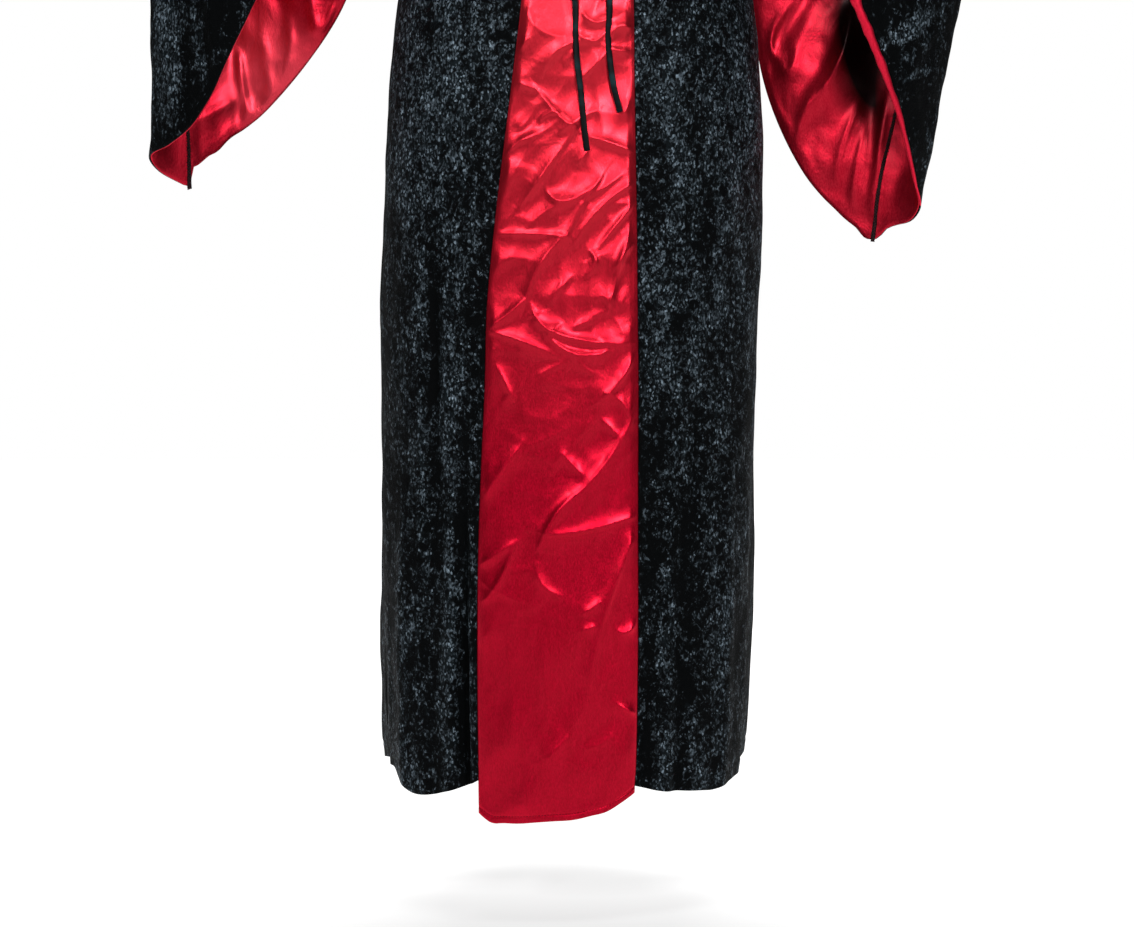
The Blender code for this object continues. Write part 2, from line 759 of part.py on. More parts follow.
def main():
    for old in list(bpy.data.objects):
        bpy.data.objects.remove(old, do_unlink=True)
    collection = bpy.data.collections.new("vampire_costume")
    bpy.context.scene.collection.children.link(collection)
    line = waist_line(build_cloth(collection)["front_centre"])
    add_tie_sides(line, collection)
    add_knot(line, collection)
    add_tie_ends(collection)


main()
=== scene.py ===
"""Looks of the vampire costume gown: velvet and satin shells on the CAD pieces, with their creases."""

from math import asin, cos, degrees, pi, radians, sin

import bpy
import numpy as np
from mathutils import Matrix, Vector


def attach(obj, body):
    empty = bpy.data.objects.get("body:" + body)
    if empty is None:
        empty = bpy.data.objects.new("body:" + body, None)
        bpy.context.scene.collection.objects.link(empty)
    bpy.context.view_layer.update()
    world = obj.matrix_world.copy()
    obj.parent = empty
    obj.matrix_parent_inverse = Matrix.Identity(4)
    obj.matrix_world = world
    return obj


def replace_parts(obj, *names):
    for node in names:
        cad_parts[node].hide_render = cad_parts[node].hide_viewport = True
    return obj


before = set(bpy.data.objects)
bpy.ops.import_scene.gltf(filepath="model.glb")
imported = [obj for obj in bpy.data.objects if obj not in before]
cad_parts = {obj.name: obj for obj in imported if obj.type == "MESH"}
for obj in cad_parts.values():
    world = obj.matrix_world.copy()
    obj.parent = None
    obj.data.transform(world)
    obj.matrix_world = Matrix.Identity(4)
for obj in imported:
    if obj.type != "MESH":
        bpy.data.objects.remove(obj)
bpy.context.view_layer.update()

# Sizes of the cloth and seams, metres
VELVET = 0.0016
SATIN = 0.0008
CAD_VELVET = 0.0020
CAD_SATIN = 0.0012
SEAM_GAP = 0.0003
CLOTH_GAP = 0.00002
ARMPIT_Z = -0.22
NECKLINE_Z = -0.14
LAST_ROW_Z = -1.300
HEM_Z = -1.370
ROUNDNESS = 2.3
RIBBON_WIDTH = 0.006
RIBBON_THICK = 0.0006
WAIST_TIE_Z = -0.405
TIE_LIFT = 0.0018
KNOT_X = 0.014

# Columns and rows of the cut pieces, and finer steps between them
FRONT_COLUMNS = 10
SIDE_COLUMNS = 14
BACK_COLUMNS = 20
SIDE_SPREAD = 1.2
YOKE_ROWS = 8
YOKE_SEAM_ROWS = 3
SLEEVE_COLUMNS = 4 * YOKE_ROWS
ROW_HEIGHTS = (-0.22, -0.27, -0.32, -0.365, -0.41, -0.465, -0.53, -0.60, -0.68, -0.76, -0.84, -0.92,
               -1.00, -1.08, -1.155, -1.23, LAST_ROW_Z)
SATIN_DOWN = 12
SATIN_DOWN_LOW = 48
SATIN_LOW_ROW = 9
VELVET_DOWN = 12
SATIN_ACROSS = 12
INSIDE_STEP = 2
SIDE_ACROSS = 5
BACK_ACROSS = 4
SLEEVE_ACROSS = 6
SLEEVE_COLUMNS_AT = np.arange(SLEEVE_COLUMNS * SLEEVE_ACROSS) / SLEEVE_ACROSS
SLEEVE_DOWN = 9
LINING_DOWN = 12

# How widely a fold is compared with the cloth round it, and the height that counts as a full crest
RELIEF_REACH = 0.020
RELIEF_FULL = 0.0035

# Creases: how far the tables' heights are raised, how round a crest is, how far a crease is followed for
# each millimetre of its width, how its ends fade, the steps of its curve, and where its upper side faces
CREASE_GAIN = 1.8
CREST = 0.0005
CREASE_REACH = 0.004
CREASE_END = 0.04
CREASE_STEPS = 10
UPPER_SIDE = (-0.45, 0.9)
MILLIMETRE = 0.001
# How far from the edges the hems' stitching shows
SATIN_HEM = 0.007
VELVET_HEM = 0.016
CUFF_HEM = 0.008
# The cloths' swells: seed, period, height. The satin is also crumpled, less so below a height
SATIN_SWELLS = ((3, 0.085, 0.0016),)
VELVET_SWELLS = ((11, 0.11, 0.0016), (13, 0.035, 0.0005))
SLEEVE_SWELLS = ((17, 0.10, 0.0016), (19, 0.035, 0.0005))
LINING_SWELLS = ((23, 0.05, 0.0009), (29, 0.024, 0.0003))
SATIN_CRUMPLE = (5, 0.046, 0.0019)
WORN_Z, WORN_FADE, WORN_LEAST = -1.12, 0.25, 0.30
# How far from seams, hems and cuffs the creases fade out
SATIN_CALM = 0.010
VELVET_CALM = 0.012
LINING_CALM = 0.014
HEM_CALM = 0.02
# Grooves: depth and width
SATIN_SEAM = (0.0009, 0.0022)
VELVET_SEAM = (0.0008, 0.0030)
SATIN_STITCHING = (0.0005, 0.0012)
VELVET_STITCHING = (0.0006, 0.0020)
CUFF_STITCHING = (0.0004, 0.0016)
# How far up a pulled cuff is drawn, and the rows in which a sleeve takes up the armhole's finer edge
CUFF_PULL_REACH = 0.045
SLEEVE_JOIN = 0.8

# Camera at the photo's place
CAMERA = (-0.005, -4.0, -0.40)
AIM = (-0.005, 0.0, -1.02)
LENS = 121.43

FLOOR_Z = -1.48

# The gown's sections: height, middle of its width, half width, depth forward and depth back
SECTIONS = (
    # z, middle_x, half_width, front, back
    (-0.14, 0.000, 0.160, 0.121, 0.112),
    (-0.22, 0.000, 0.168, 0.128, 0.108),
    (-0.27, 0.000, 0.165, 0.136, 0.102),
    (-0.33, 0.000, 0.149, 0.120, 0.094),
    (-0.40, 0.002, 0.141, 0.103, 0.095),
    (-0.47, 0.003, 0.166, 0.114, 0.113),
    (-0.533, 0.003, 0.1829, 0.1245, 0.124),
    (-0.61, 0.003, 0.1915, 0.130, 0.131),
    (-0.74, 0.002, 0.1974, 0.138, 0.138),
    (-0.85, -0.002, 0.1977, 0.145, 0.146),
    (-1.00, -0.004, 0.1957, 0.153, 0.156),
    (-1.12, -0.0035, 0.1971, 0.160, 0.163),
    (-1.22, -0.0045, 0.1957, 0.165, 0.168),
    (-1.30, -0.0058, 0.1935, 0.169, 0.172),
    (-1.37, -0.0075, 0.1880, 0.173, 0.175),
)
FRONT_SEAMS = (
    # z, right_x, left_x
    (-0.14, -0.063, 0.063),
    (-0.22, -0.060, 0.061),
    (-0.40, -0.043, 0.056),
    (-0.53, -0.0513, 0.0625),
    (-0.63, -0.0636, 0.0637),
    (-0.73, -0.0759, 0.0658),
    (-0.83, -0.0863, 0.0670),
    (-0.93, -0.0896, 0.0682),
    (-1.04, -0.0949, 0.0679),
    (-1.14, -0.0973, 0.0686),
    (-1.24, -0.0975, 0.0683),
    (-1.32, -0.0967, 0.0670),
    (-1.37, -0.0962, 0.0640),
)
FOLDS = (
    # angle, half_width, depth, start_z, full_z
    (-31.5, 5.0, -0.020, -0.86, -1.33),
    (-42, 6, -0.005, -0.72, -0.95),
    (-58, 9, 0.006, -0.90, -1.34),
    (-84, 9, -0.014, -1.05, -1.36),
    (22, 5, -0.006, -0.95, -1.35),
    (36, 6, -0.006, -0.88, -1.10),
    (55, 9, 0.005, -0.85, -1.34),
    (80, 9, -0.010, -0.95, -1.34),
    (106, 11, 0.007, -0.62, -1.33),
    (124, 10, -0.022, -0.58, -1.33),
    (143, 9, 0.014, -0.60, -1.30),
    (161, 9, -0.024, -0.55, -1.34),
    (179, 9, 0.012, -0.58, -1.32),
    (197, 9, -0.022, -0.60, -1.33),
    (215, 9, 0.016, -0.56, -1.31),
    (235, 10, -0.024, -0.60, -1.34),
    (256, 11, 0.010, -0.64, -1.32),
)
HEMS = {
    # share of the way across, height
    "front_centre": (
        (0.0, -1.360), (0.05, -1.369), (0.3, -1.3685), (0.6, -1.364), (0.8, -1.356), (1.0, -1.338),
    ),
    "front_side_right": (
        (0.0, -1.326), (0.2, -1.339), (0.4, -1.350), (0.5, -1.350),
        (0.62, -1.341), (0.72, -1.331), (1.0, -1.336),
    ),
    "front_side_left": ((0.0, -1.331), (0.2, -1.339), (0.5, -1.345), (0.8, -1.339), (1.0, -1.331)),
    "back_right": ((0.0, -1.336), (0.25, -1.358), (0.6, -1.362), (1.0, -1.364)),
    "back_left": ((0.0, -1.331), (0.25, -1.356), (0.6, -1.362), (1.0, -1.364)),
}

# The yoke's edges on the wearer's left. The right is their mirror image
NECK_POINT = (0.075, 0.0, 0.0)
SHOULDER_TIP = (0.190, 0.004, -0.040)
FRONT_NECKLINE = ((0.0635, -0.088, -0.095), (0.069, -0.046, -0.045))
BACK_NECKLINE = ((0.056, 0.050, -0.016), (0.030, 0.072, -0.027), (0.0, 0.080, -0.030))
BACK_MIDDLE = ((0.0, 0.100, -0.075), (0.0, 0.110, -0.14))
FRONT_ARMHOLE = ((0.152, -0.060, -0.185), (0.144, -0.066, -0.130), (0.163, -0.040, -0.075))
BACK_ARMHOLE = ((0.158, 0.058, -0.185), (0.154, 0.070, -0.130), (0.170, 0.048, -0.075))

SLEEVE_RINGS = {
    # x, y, z, tilt, half_height, half_depth
    "right": ((-0.258, 0.008, -0.162, 41, 0.078, 0.066), (-0.348, 0.018, -0.283, 88, 0.059, 0.056)),
    "left": ((0.250, 0.008, -0.166, 39, 0.078, 0.066), (0.341, 0.018, -0.292, 85, 0.059, 0.056)),
}
CUFFS = {
    "right": (
        # share, x, y, z
        (0.000, -0.232, -0.020, -0.408), (0.085, -0.268, -0.072, -0.440),
        (0.170, -0.304, -0.090, -0.494), (0.240, -0.3222, -0.086, -0.530),
        (0.315, -0.3452, -0.082, -0.5785), (0.390, -0.3732, -0.070, -0.6321),
        (0.435, -0.3944, -0.056, -0.6607), (0.475, -0.4224, -0.033, -0.6839),
        (0.510, -0.4430, 0.000, -0.6989), (0.555, -0.4046, 0.030, -0.7280),
        (0.610, -0.3720, 0.049, -0.6890), (0.680, -0.3330, 0.058, -0.6607),
        (0.760, -0.2850, 0.064, -0.6080), (0.860, -0.2377, 0.058, -0.5346),
        (0.940, -0.2150, 0.030, -0.4600),
    ),
    "left": (
        # share, x, y, z
        (0.000, 0.214, 0.000, -0.420), (0.080, 0.248, -0.060, -0.440),
        (0.170, 0.276, -0.084, -0.495), (0.230, 0.2882, -0.084, -0.5301),
        (0.300, 0.3070, -0.082, -0.5707), (0.360, 0.3230, -0.074, -0.6115),
        (0.420, 0.3402, -0.058, -0.6585), (0.475, 0.3559, -0.025, -0.7251),
        (0.510, 0.3600, 0.000, -0.7560), (0.560, 0.3183, 0.030, -0.7850),
        (0.620, 0.2850, 0.044, -0.7600), (0.690, 0.2500, 0.056, -0.7220),
        (0.770, 0.2170, 0.068, -0.6600), (0.850, 0.1967, 0.080, -0.5882),
        (0.930, 0.1930, 0.066, -0.4900),
    ),
}
SLEEVE_MARKS = (0.0, 0.11, 0.30, 0.68)
SLEEVE_STEPS = (3, 4, 8)
LINING_FIRST_RING = 9
BELL_WAVES = {
    # share, half_width, depth
    "right": (
        (0.22, 0.05, 0.005), (0.33, 0.05, -0.005), (0.43, 0.04, 0.004),
        (0.66, 0.05, -0.006), (0.80, 0.06, 0.006),
    ),
    "left": (
        (0.20, 0.05, 0.004), (0.30, 0.05, -0.005), (0.50, 0.09, 0.008),
        (0.68, 0.05, -0.006), (0.82, 0.06, 0.006),
    ),
}
WAVE_FULL = 0.625
WAVE_FADE_FROM = 0.8
WAVE_FADE = 0.6

# The free ends of the ribbon tie, from the knot down, and their lengths
TIE_ENDS = {
    "tie_end_right": (
        (0.0107, -0.1100, -0.4113), (0.0040, -0.1165, -0.4500),
        (0.0005, -0.1250, -0.4900), (0.0030, -0.1300, -0.5285),
        (0.0041, -0.1330, -0.5714), (0.0056, -0.1345, -0.5933),
        (0.0091, -0.1365, -0.6203), (0.0116, -0.1382, -0.6474),
        (0.0152, -0.1402, -0.6790),
    ),
    "tie_end_left": (
        (0.0173, -0.1098, -0.4113), (0.0270, -0.1160, -0.4500),
        (0.0365, -0.1240, -0.4900), (0.0382, -0.1290, -0.5285),
        (0.0368, -0.1315, -0.5714), (0.0389, -0.1330, -0.5933),
        (0.0423, -0.1345, -0.6154), (0.0484, -0.1362, -0.6403),
    ),
}


def creases(*rows):
    """A table of creases with its places turned into metres.

    Each row is three points of a curve as seen from the front, x and z in whole millimetres, the height of
    its crest, and how far it slopes away on its upper and its lower side, in millimetres too."""
    return tuple((*(place / 1000 for place in row[:6]), *row[6:]) for row in rows)


SATIN_CREASES = creases(
    (-26, -596, -14, -579, 11, -569, 2.2, 9, 3), (-31, -622, -15, -641, 2, -654, 2.2, 3, 9),
    (-53, -612, -44, -615, -34, -619, 1.2, 4, 5), (5, -654, -23, -695, -54, -737, 2.6, 12, 4),
    (20, -666, 38, -672, 63, -681, 2.4, 7, 3), (-26, -719, -6, -730, 25, -712, 2.0, 8, 3),
    (28, -708, 6, -741, -6, -769, 2.6, 10, 4), (63, -712, 28, -737, 2, -775, 2.8, 8, 4),
    (65, -729, 49, -749, 28, -776, 2.4, 5, 3), (-76, -764, -44, -763, -7, -765, 1.3, 3, 5),
    (-7, -765, -31, -793, -46, -828, 3.0, 12, 5), (-46, -828, -63, -844, -84, -860, 2.4, 7, 5),
    (-47, -758, -24, -739, -4, -733, 1.2, 8, 5), (-39, -839, -15, -864, 48, -875, 3.0, 7, 4),
    (-83, -863, -50, -872, -14, -888, 1.8, 6, 5), (-30, -859, 0, -883, 37, -882, 2.0, 3, 8),
    (63, -885, 49, -911, 24, -936, 2.4, 9, 4), (58, -759, 46, -802, 36, -843, 2.6, 7, 4),
    (18, -780, 24, -792, 14, -806, 1.8, 5, 3), (-5, -893, -22, -900, -35, -908, 1.0, 6, 6),
    (-76, -896, -67, -916, -59, -932, 1.8, 4, 6), (43, -798, 55, -780, 65, -772, 1.8, 5, 4),
    (-68, -657, -73, -669, -74, -681, 1.4, 4, 4), (11, -541, 22, -551, 35, -547, 1.8, 6, 4),
    (7, -562, 20, -570, 32, -562, 1.8, 6, 3), (40, -567, 48, -555, 64, -560, 2.0, 6, 4),
    (38, -576, 48, -579, 63, -579, 1.8, 3, 7), (-42, -547, -27, -561, -6, -565, 1.2, 8, 8),
    (-89, -1034, -73, -1007, -50, -976, 1.8, 7, 5), (63, -946, 32, -999, 1, -1030, 2.6, 6, 9),
    (1, -1030, -19, -1052, -34, -1085, 2.8, 5, 9), (-27, -1068, 8, -1066, 65, -1051, 2.4, 8, 3),
    (-10, -985, -1, -996, 10, -1007, 1.6, 5, 4), (31, -952, 38, -959, 46, -968, 1.4, 5, 4),
    (-90, -1139, -73, -1116, -57, -1077, 2.0, 5, 6), (-96, -1104, -79, -1092, -58, -1077, 1.4, 5, 5),
    (-34, -1097, -32, -1118, -13, -1132, 1.6, 6, 6), (60, -1076, 41, -1128, 27, -1177, 2.6, 8, 5),
    (27, -1177, 22, -1203, 18, -1229, 1.6, 8, 6), (12, -1150, 21, -1144, 29, -1136, 1.8, 5, 4),
    (10, -1169, 16, -1166, 23, -1163, 1.4, 5, 4), (47, -1169, 58, -1169, 68, -1157, 2.2, 6, 4),
    (47, -1245, 59, -1252, 67, -1257, 2.0, 4, 3), (-28, -1304, -16, -1291, -2, -1276, 1.6, 9, 9),
    (-68, -1177, -61, -1239, -64, -1293, 0.9, 14, 14), (-24, -1157, -28, -1219, -21, -1270, 0.8, 14, 14),
    (41, -1276, 46, -1307, 42, -1343, 0.9, 10, 10), (-45, -1307, -47, -1333, -42, -1362, 0.9, 10, 10),
)


# Curves and tables

def table_value(table, at, column):
    """One column of a table whose first column falls, read smoothly at a height."""
    xs = np.array([-row[0] for row in table])
    ys = np.array([row[column] for row in table])
    slopes = np.gradient(ys, xs)
    x = min(max(-at, xs[0]), xs[-1])
    i = min(int(np.searchsorted(xs, x, side="right")) - 1, len(xs) - 2)
    width = xs[i + 1] - xs[i]
    return float(hermite(ys[i], ys[i + 1], slopes[i] * width, slopes[i + 1] * width, (x - xs[i]) / width))


def hermite(a, b, slope_a, slope_b, t):
    return (
        a * (1 + 2 * t) * (1 - t) ** 2
        + slope_a * t * (1 - t) ** 2
        + b * t * t * (3 - 2 * t)
        + slope_b * t * t * (t - 1)
    )


def curve_through(points, marks, at, closed=False):
    """A smooth curve through points placed at marks, read at the values in at."""
    points = np.array(points, float)
    marks = np.array(marks, float)
    if closed:
        points = np.vstack([points[-2:], points, points[:2]])
        marks = np.concatenate([marks[-2:] - 1, marks, marks[:2] + 1])
    slopes = np.stack([np.gradient(points[:, k], marks) for k in range(points.shape[1])], axis=1)
    at = np.asarray(at, float)
    i = np.clip(np.searchsorted(marks, at, side="right") - 1, 0, len(marks) - 2)
    width = (marks[i + 1] - marks[i])[:, None]
    t = (at - marks[i])[:, None] / width
    return hermite(points[i], points[i + 1], slopes[i] * width, slopes[i + 1] * width, t)


def lengths(line):
    """How far each point of a line lies from its first, along the line."""
    return np.concatenate([[0.0], np.cumsum(np.linalg.norm(np.diff(line, axis=0), axis=1))])


def read_at(marks, steps, line):
    """Points of a line, at distances along it."""
    return np.stack([np.interp(marks, steps, line[:, k]) for k in range(3)], axis=-1)


def along(points, count):
    """count + 1 points at even steps of a smooth curve through points."""
    marks = lengths(points)
    return curve_through(points, marks, np.linspace(0, marks[-1], count + 1))


def smooth(t):
    t = np.clip(t, 0.0, 1.0)
    return t * t * (3 - 2 * t)


def unit(vectors):
    return vectors / np.linalg.norm(vectors, axis=-1, keepdims=True)


# The cut pieces, as in the CAD source

def fold_depth(angle, z):
    total = 0.0
    for middle, half_width, depth, start, full in FOLDS:
        away = abs((angle - middle + 180) % 360 - 180) / half_width
        if away < 1:
            total += depth * float(smooth((start - z) / (start - full))) * cos(away * pi / 2) ** 2
    return total


def gown_point(angle, z):
    """A point of the gown's mid-surface. The angle is from the front towards the wearer's left."""
    middle, half, front, back = (table_value(SECTIONS, z, k) for k in (1, 2, 3, 4))
    a = radians(angle)
    across = np.sign(sin(a)) * abs(sin(a)) ** (2 / ROUNDNESS)
    ahead = np.sign(cos(a)) * abs(cos(a)) ** (2 / ROUNDNESS)
    depth = front if ahead > 0 else back
    point = np.array([middle + half * across, -depth * ahead, z])
    outward = np.array([across / half, -ahead / depth, 0.0])
    return point + outward / np.linalg.norm(outward) * fold_depth(angle, z)


def seam_angle(x, z):
    share = (x - table_value(SECTIONS, z, 1)) / table_value(SECTIONS, z, 2)
    return degrees(asin(abs(share) ** (ROUNDNESS / 2))) * np.sign(share)


def panel_angles(name, z):
    right = seam_angle(table_value(FRONT_SEAMS, z, 1), z)
    left = seam_angle(table_value(FRONT_SEAMS, z, 2), z)
    if name == "front_centre":
        return np.linspace(right, left, FRONT_COLUMNS + 1)
    closer = np.linspace(0, 1, SIDE_COLUMNS + 1) ** SIDE_SPREAD
    if name == "front_side_right":
        return right + (-90 - right) * closer
    if name == "front_side_left":
        return left + (90 - left) * closer
    if name == "back_right":
        return np.linspace(-90, -180, BACK_COLUMNS + 1)
    return np.linspace(90, 180, BACK_COLUMNS + 1)


def skirt_rows(name):
    rows = [[gown_point(a, z) for a in panel_angles(name, z)] for z in ROW_HEIGHTS]
    last = np.array(rows[-1])
    nominal = np.array([gown_point(a, HEM_Z) for a in panel_angles(name, HEM_Z)])
    shares = np.linspace(0, 1, len(last))
    heights = np.interp(shares, [h[0] for h in HEMS[name]], [h[1] for h in HEMS[name]])
    t = (heights - LAST_ROW_Z) / (HEM_Z - LAST_ROW_Z)
    rows.append(last + (nominal - last) * t[:, None])
    return np.array(rows)


def mirrored(points, side):
    return np.array(points, float) * np.array([side, 1, 1])


def princess_top(side):
    column = 1 if side < 0 else 2
    heights = np.linspace(NECKLINE_Z, ARMPIT_Z, YOKE_SEAM_ROWS + 1)
    return np.array([gown_point(seam_angle(table_value(FRONT_SEAMS, z, column), z), z) for z in heights])


def armhole(side, points):
    top = mirrored([SHOULDER_TIP], side)
    bottom = [gown_point(90 * side, ARMPIT_Z)]
    return along(np.vstack([top, mirrored(points, side)[::-1], bottom]), YOKE_ROWS)


def coons(top, bottom, first, last):
    """Rows of points that fill four edges. first and last run down from top to bottom."""
    u = np.linspace(0, 1, len(top))[None, :, None]
    v = np.linspace(0, 1, len(first))[:, None, None]
    across = (1 - v) * top[None] + v * bottom[None]
    down = (1 - u) * first[:, None] + u * last[:, None]
    corners = (
        (1 - u) * (1 - v) * top[0] + u * (1 - v) * top[-1] + (1 - u) * v * bottom[0] + u * v * bottom[-1]
    )
    return across + down - corners


def shoulder_seam(side):
    ends = mirrored([NECK_POINT, SHOULDER_TIP], side)
    t = np.linspace(0, 1, SIDE_COLUMNS + 1)[:, None]
    return ends[0] * (1 - t) + ends[1] * t


def side_yoke(side, skirt):
    seam = princess_top(side)
    neck = np.vstack([mirrored([NECK_POINT], side), mirrored(FRONT_NECKLINE, side)[::-1], seam[:1]])
    inner = np.vstack([along(neck, YOKE_ROWS - YOKE_SEAM_ROWS)[:-1], seam])
    return coons(shoulder_seam(side), skirt[0], inner, armhole(side, FRONT_ARMHOLE))


def back_yoke(side, skirt):
    edge = np.vstack([mirrored([NECK_POINT], side), mirrored(BACK_NECKLINE, side)])
    neck = along(edge, BACK_COLUMNS - SIDE_COLUMNS)
    top = np.vstack([shoulder_seam(side)[::-1], neck[1:]])
    middle = along(np.vstack([neck[-1:], mirrored(BACK_MIDDLE, side), skirt[0][-1:]]), YOKE_ROWS)
    return coons(top, skirt[0], armhole(side, BACK_ARMHOLE), middle)


def centre_yoke():
    right, left = princess_top(-1), princess_top(1)
    rows = []
    for row, z in enumerate(np.linspace(NECKLINE_Z, ARMPIT_Z, YOKE_SEAM_ROWS + 1)):
        line = np.array([gown_point(a, z) for a in panel_angles("front_centre", z)])
        line[0], line[-1] = right[row], left[row]
        rows.append(line)
    return np.array(rows)


def panels():
    """Every body panel's grid of mid-surface points, top row first."""
    grids = {}
    for name in HEMS:
        skirt = skirt_rows(name)
        side = -1 if name.endswith("right") else 1
        if name == "front_centre":
            yoke = centre_yoke()
        elif name.startswith("front"):
            yoke = side_yoke(side, skirt)
        else:
            yoke = back_yoke(side, skirt)
        grids[name] = np.vstack([yoke[:-1], skirt])
    return grids


def armhole_ring(word, grids):
    front = grids[f"front_side_{word}"][: YOKE_ROWS + 1, -1]
    back = grids[f"back_{word}"][: YOKE_ROWS + 1, 0]
    loop = np.vstack([front[::-1], back[1:-1]])
    following = np.roll(loop, -1, axis=0)
    return np.stack([loop, (loop + following) / 2], axis=1).reshape(-1, 3)


def arm_ring(side, x, y, z, tilt, half_height, half_depth):
    a = 2 * pi * np.arange(SLEEVE_COLUMNS)[:, None] / SLEEVE_COLUMNS
    upward = np.array([side * sin(radians(tilt)), 0.0, cos(radians(tilt))])
    return np.array([x, y, z]) - upward * half_height * np.cos(a) - np.array([0, half_depth, 0]) * np.sin(a)


def cuff_curve(word, shares):
    rows = CUFFS[word]
    return curve_through([row[1:] for row in rows], [row[0] for row in rows], shares, closed=True)


def sleeve_grid(word, grids):
    """Rings from the armhole to the cuff. Each column is a smooth curve through the key rings."""
    side = -1 if word == "right" else 1
    upper, elbow = (arm_ring(side, *row) for row in SLEEVE_RINGS[word])
    cuff = cuff_curve(word, np.arange(SLEEVE_COLUMNS) / SLEEVE_COLUMNS)
    keys = np.array([armhole_ring(word, grids), upper, elbow, cuff])
    stations = [0.0]
    for i, steps in enumerate(SLEEVE_STEPS):
        stations += list(np.linspace(SLEEVE_MARKS[i], SLEEVE_MARKS[i + 1], steps + 1)[1:])
    columns = [curve_through(keys[:, c], SLEEVE_MARKS, stations) for c in range(SLEEVE_COLUMNS)]
    rings = np.stack(columns, axis=1)
    outward = unit(face_sums(rings, True))
    for row, station in enumerate(stations):
        t = (station - SLEEVE_MARKS[2]) / (SLEEVE_MARKS[3] - SLEEVE_MARKS[2])
        fade = WAVE_FADE * smooth((t - WAVE_FADE_FROM) / (1 - WAVE_FADE_FROM))
        strength = smooth(t / WAVE_FULL) * (1 - fade)
        for middle, half_width, depth in BELL_WAVES[word]:
            shares = np.arange(SLEEVE_COLUMNS) / SLEEVE_COLUMNS
            away = np.abs((shares - middle + 0.5) % 1 - 0.5) / half_width
            push = np.where(away < 1, depth * strength * np.cos(away * pi / 2) ** 2, 0.0)
            rings[row] += outward[row] * push[:, None]
    return rings


def face_sums(grid, closed):
    """At each point, the sum of the directions across the cells that meet there."""
    ring = np.concatenate([grid, grid[:, :1]], axis=1) if closed else grid
    cells = np.cross(ring[1:, 1:] - ring[:-1, :-1], ring[:-1, 1:] - ring[1:, :-1])
    out = np.zeros_like(ring)
    for rows in (slice(None, -1), slice(1, None)):
        for columns in (slice(None, -1), slice(1, None)):
            out[rows, columns] += cells
    if closed:
        out[:, 0] += out[:, -1]
        out = out[:, :-1]
    return out


def shared_normals(grids):
    """The direction out of the cloth at each point, the same for every piece that shares the point."""
    totals, keys = {}, {}
    for name, grid in grids.items():
        sums = face_sums(grid, name.startswith("sleeve")) * (-1 if name.endswith("right") else 1)
        keys[name] = [tuple(k) for k in np.round(grid.reshape(-1, 3) * 1e6).astype(int)]
        for key, value in zip(keys[name], sums.reshape(-1, 3)):
            totals[key] = totals.get(key, 0) + value
    sums = {name: np.array([totals[k] for k in keys[name]]) for name in grids}
    return {name: unit(sums[name]).reshape(grid.shape) for name, grid in grids.items()}


# Finer cloth

def finer(grid, rows_at, columns_at, closed=False):
    """The same surface read at any rows and columns, counted in steps of the grid."""
    i = np.clip(rows_at.astype(int), 0, len(grid) - 2)
    t = (rows_at - i)[:, None, None]
    slopes = np.gradient(grid, axis=0)
    grid = hermite(grid[i], grid[i + 1], slopes[i], slopes[i + 1], t)
    if closed:
        slopes = (np.roll(grid, -1, axis=1) - np.roll(grid, 1, axis=1)) / 2
        j = columns_at.astype(int) % grid.shape[1]
        k = (j + 1) % grid.shape[1]
    else:
        slopes = np.gradient(grid, axis=1)
        j = np.clip(columns_at.astype(int), 0, grid.shape[1] - 2)
        k = j + 1
    t = (columns_at - columns_at.astype(int) if closed else columns_at - j)[None, :, None]
    return hermite(grid[:, j], grid[:, k], slopes[:, j], slopes[:, k], t)


def steps_of(counts):
    """Places along a grid, the whole steps cut into as many equal parts as the list says."""
    parts = [i + np.arange(n) / n for i, n in enumerate(counts)]
    return np.concatenate(parts + [[len(counts)]])


def crease_heights(points, rows):
    """Height in metres of a table of creases, at places seen from the front."""
    x, z = points[..., 0], points[..., 2]
    total = np.zeros(x.shape)
    t = np.linspace(0, 1, CREASE_STEPS + 1)[:, None]
    for *places, height, upper, lower in rows:
        first, middle, last = np.array(places).reshape(3, 2)
        line = (1 - t) * (1 - 2 * t) * first + 4 * t * (1 - t) * middle + t * (2 * t - 1) * last
        reach = max(upper, lower) * CREASE_REACH
        low, high = line.min(axis=0) - reach, line.max(axis=0) + reach
        near = (x > low[0]) & (x < high[0]) & (z > low[1]) & (z < high[1])
        at = np.stack([x[near], z[near]], axis=1)
        best = np.full(len(at), np.inf)
        share, above = np.zeros(len(at)), np.zeros(len(at))
        for k, step in enumerate(np.diff(line, axis=0)):
            size = np.linalg.norm(step)
            s = np.clip(((at - line[k]) @ step) / size**2, 0, 1)
            away = at - line[k] - s[:, None] * step
            gap = np.linalg.norm(away, axis=1)
            across = np.array([-step[1], step[0]]) / size
            across = across * (1 if across @ UPPER_SIDE > 0 else -1)
            closer = gap < best
            best = np.where(closer, gap, best)
            share = np.where(closer, (k + s) / CREASE_STEPS, share)
            above = np.where(closer, away @ across, above)
        width = np.where(above > 0, upper, lower) * MILLIMETRE
        fall = np.exp(-(np.sqrt(best**2 + CREST**2) - CREST) / width)
        ends = np.sqrt(np.sin(pi * (CREASE_END + (1 - 2 * CREASE_END) * share)))
        total[near] += CREASE_GAIN * height * MILLIMETRE * fall * ends
    return total


# The small creases: their slopes in radians, the part that rises to each side, how far they bend for
# their length, and their lower side's width as a part of the upper one's
SCATTER_SLOPES = (0.2, 1.2)
SCATTER_RISING = (0.25, 0.75)
SCATTER_BEND = 0.25
SCATTER_LOWER = (0.4, 0.9)
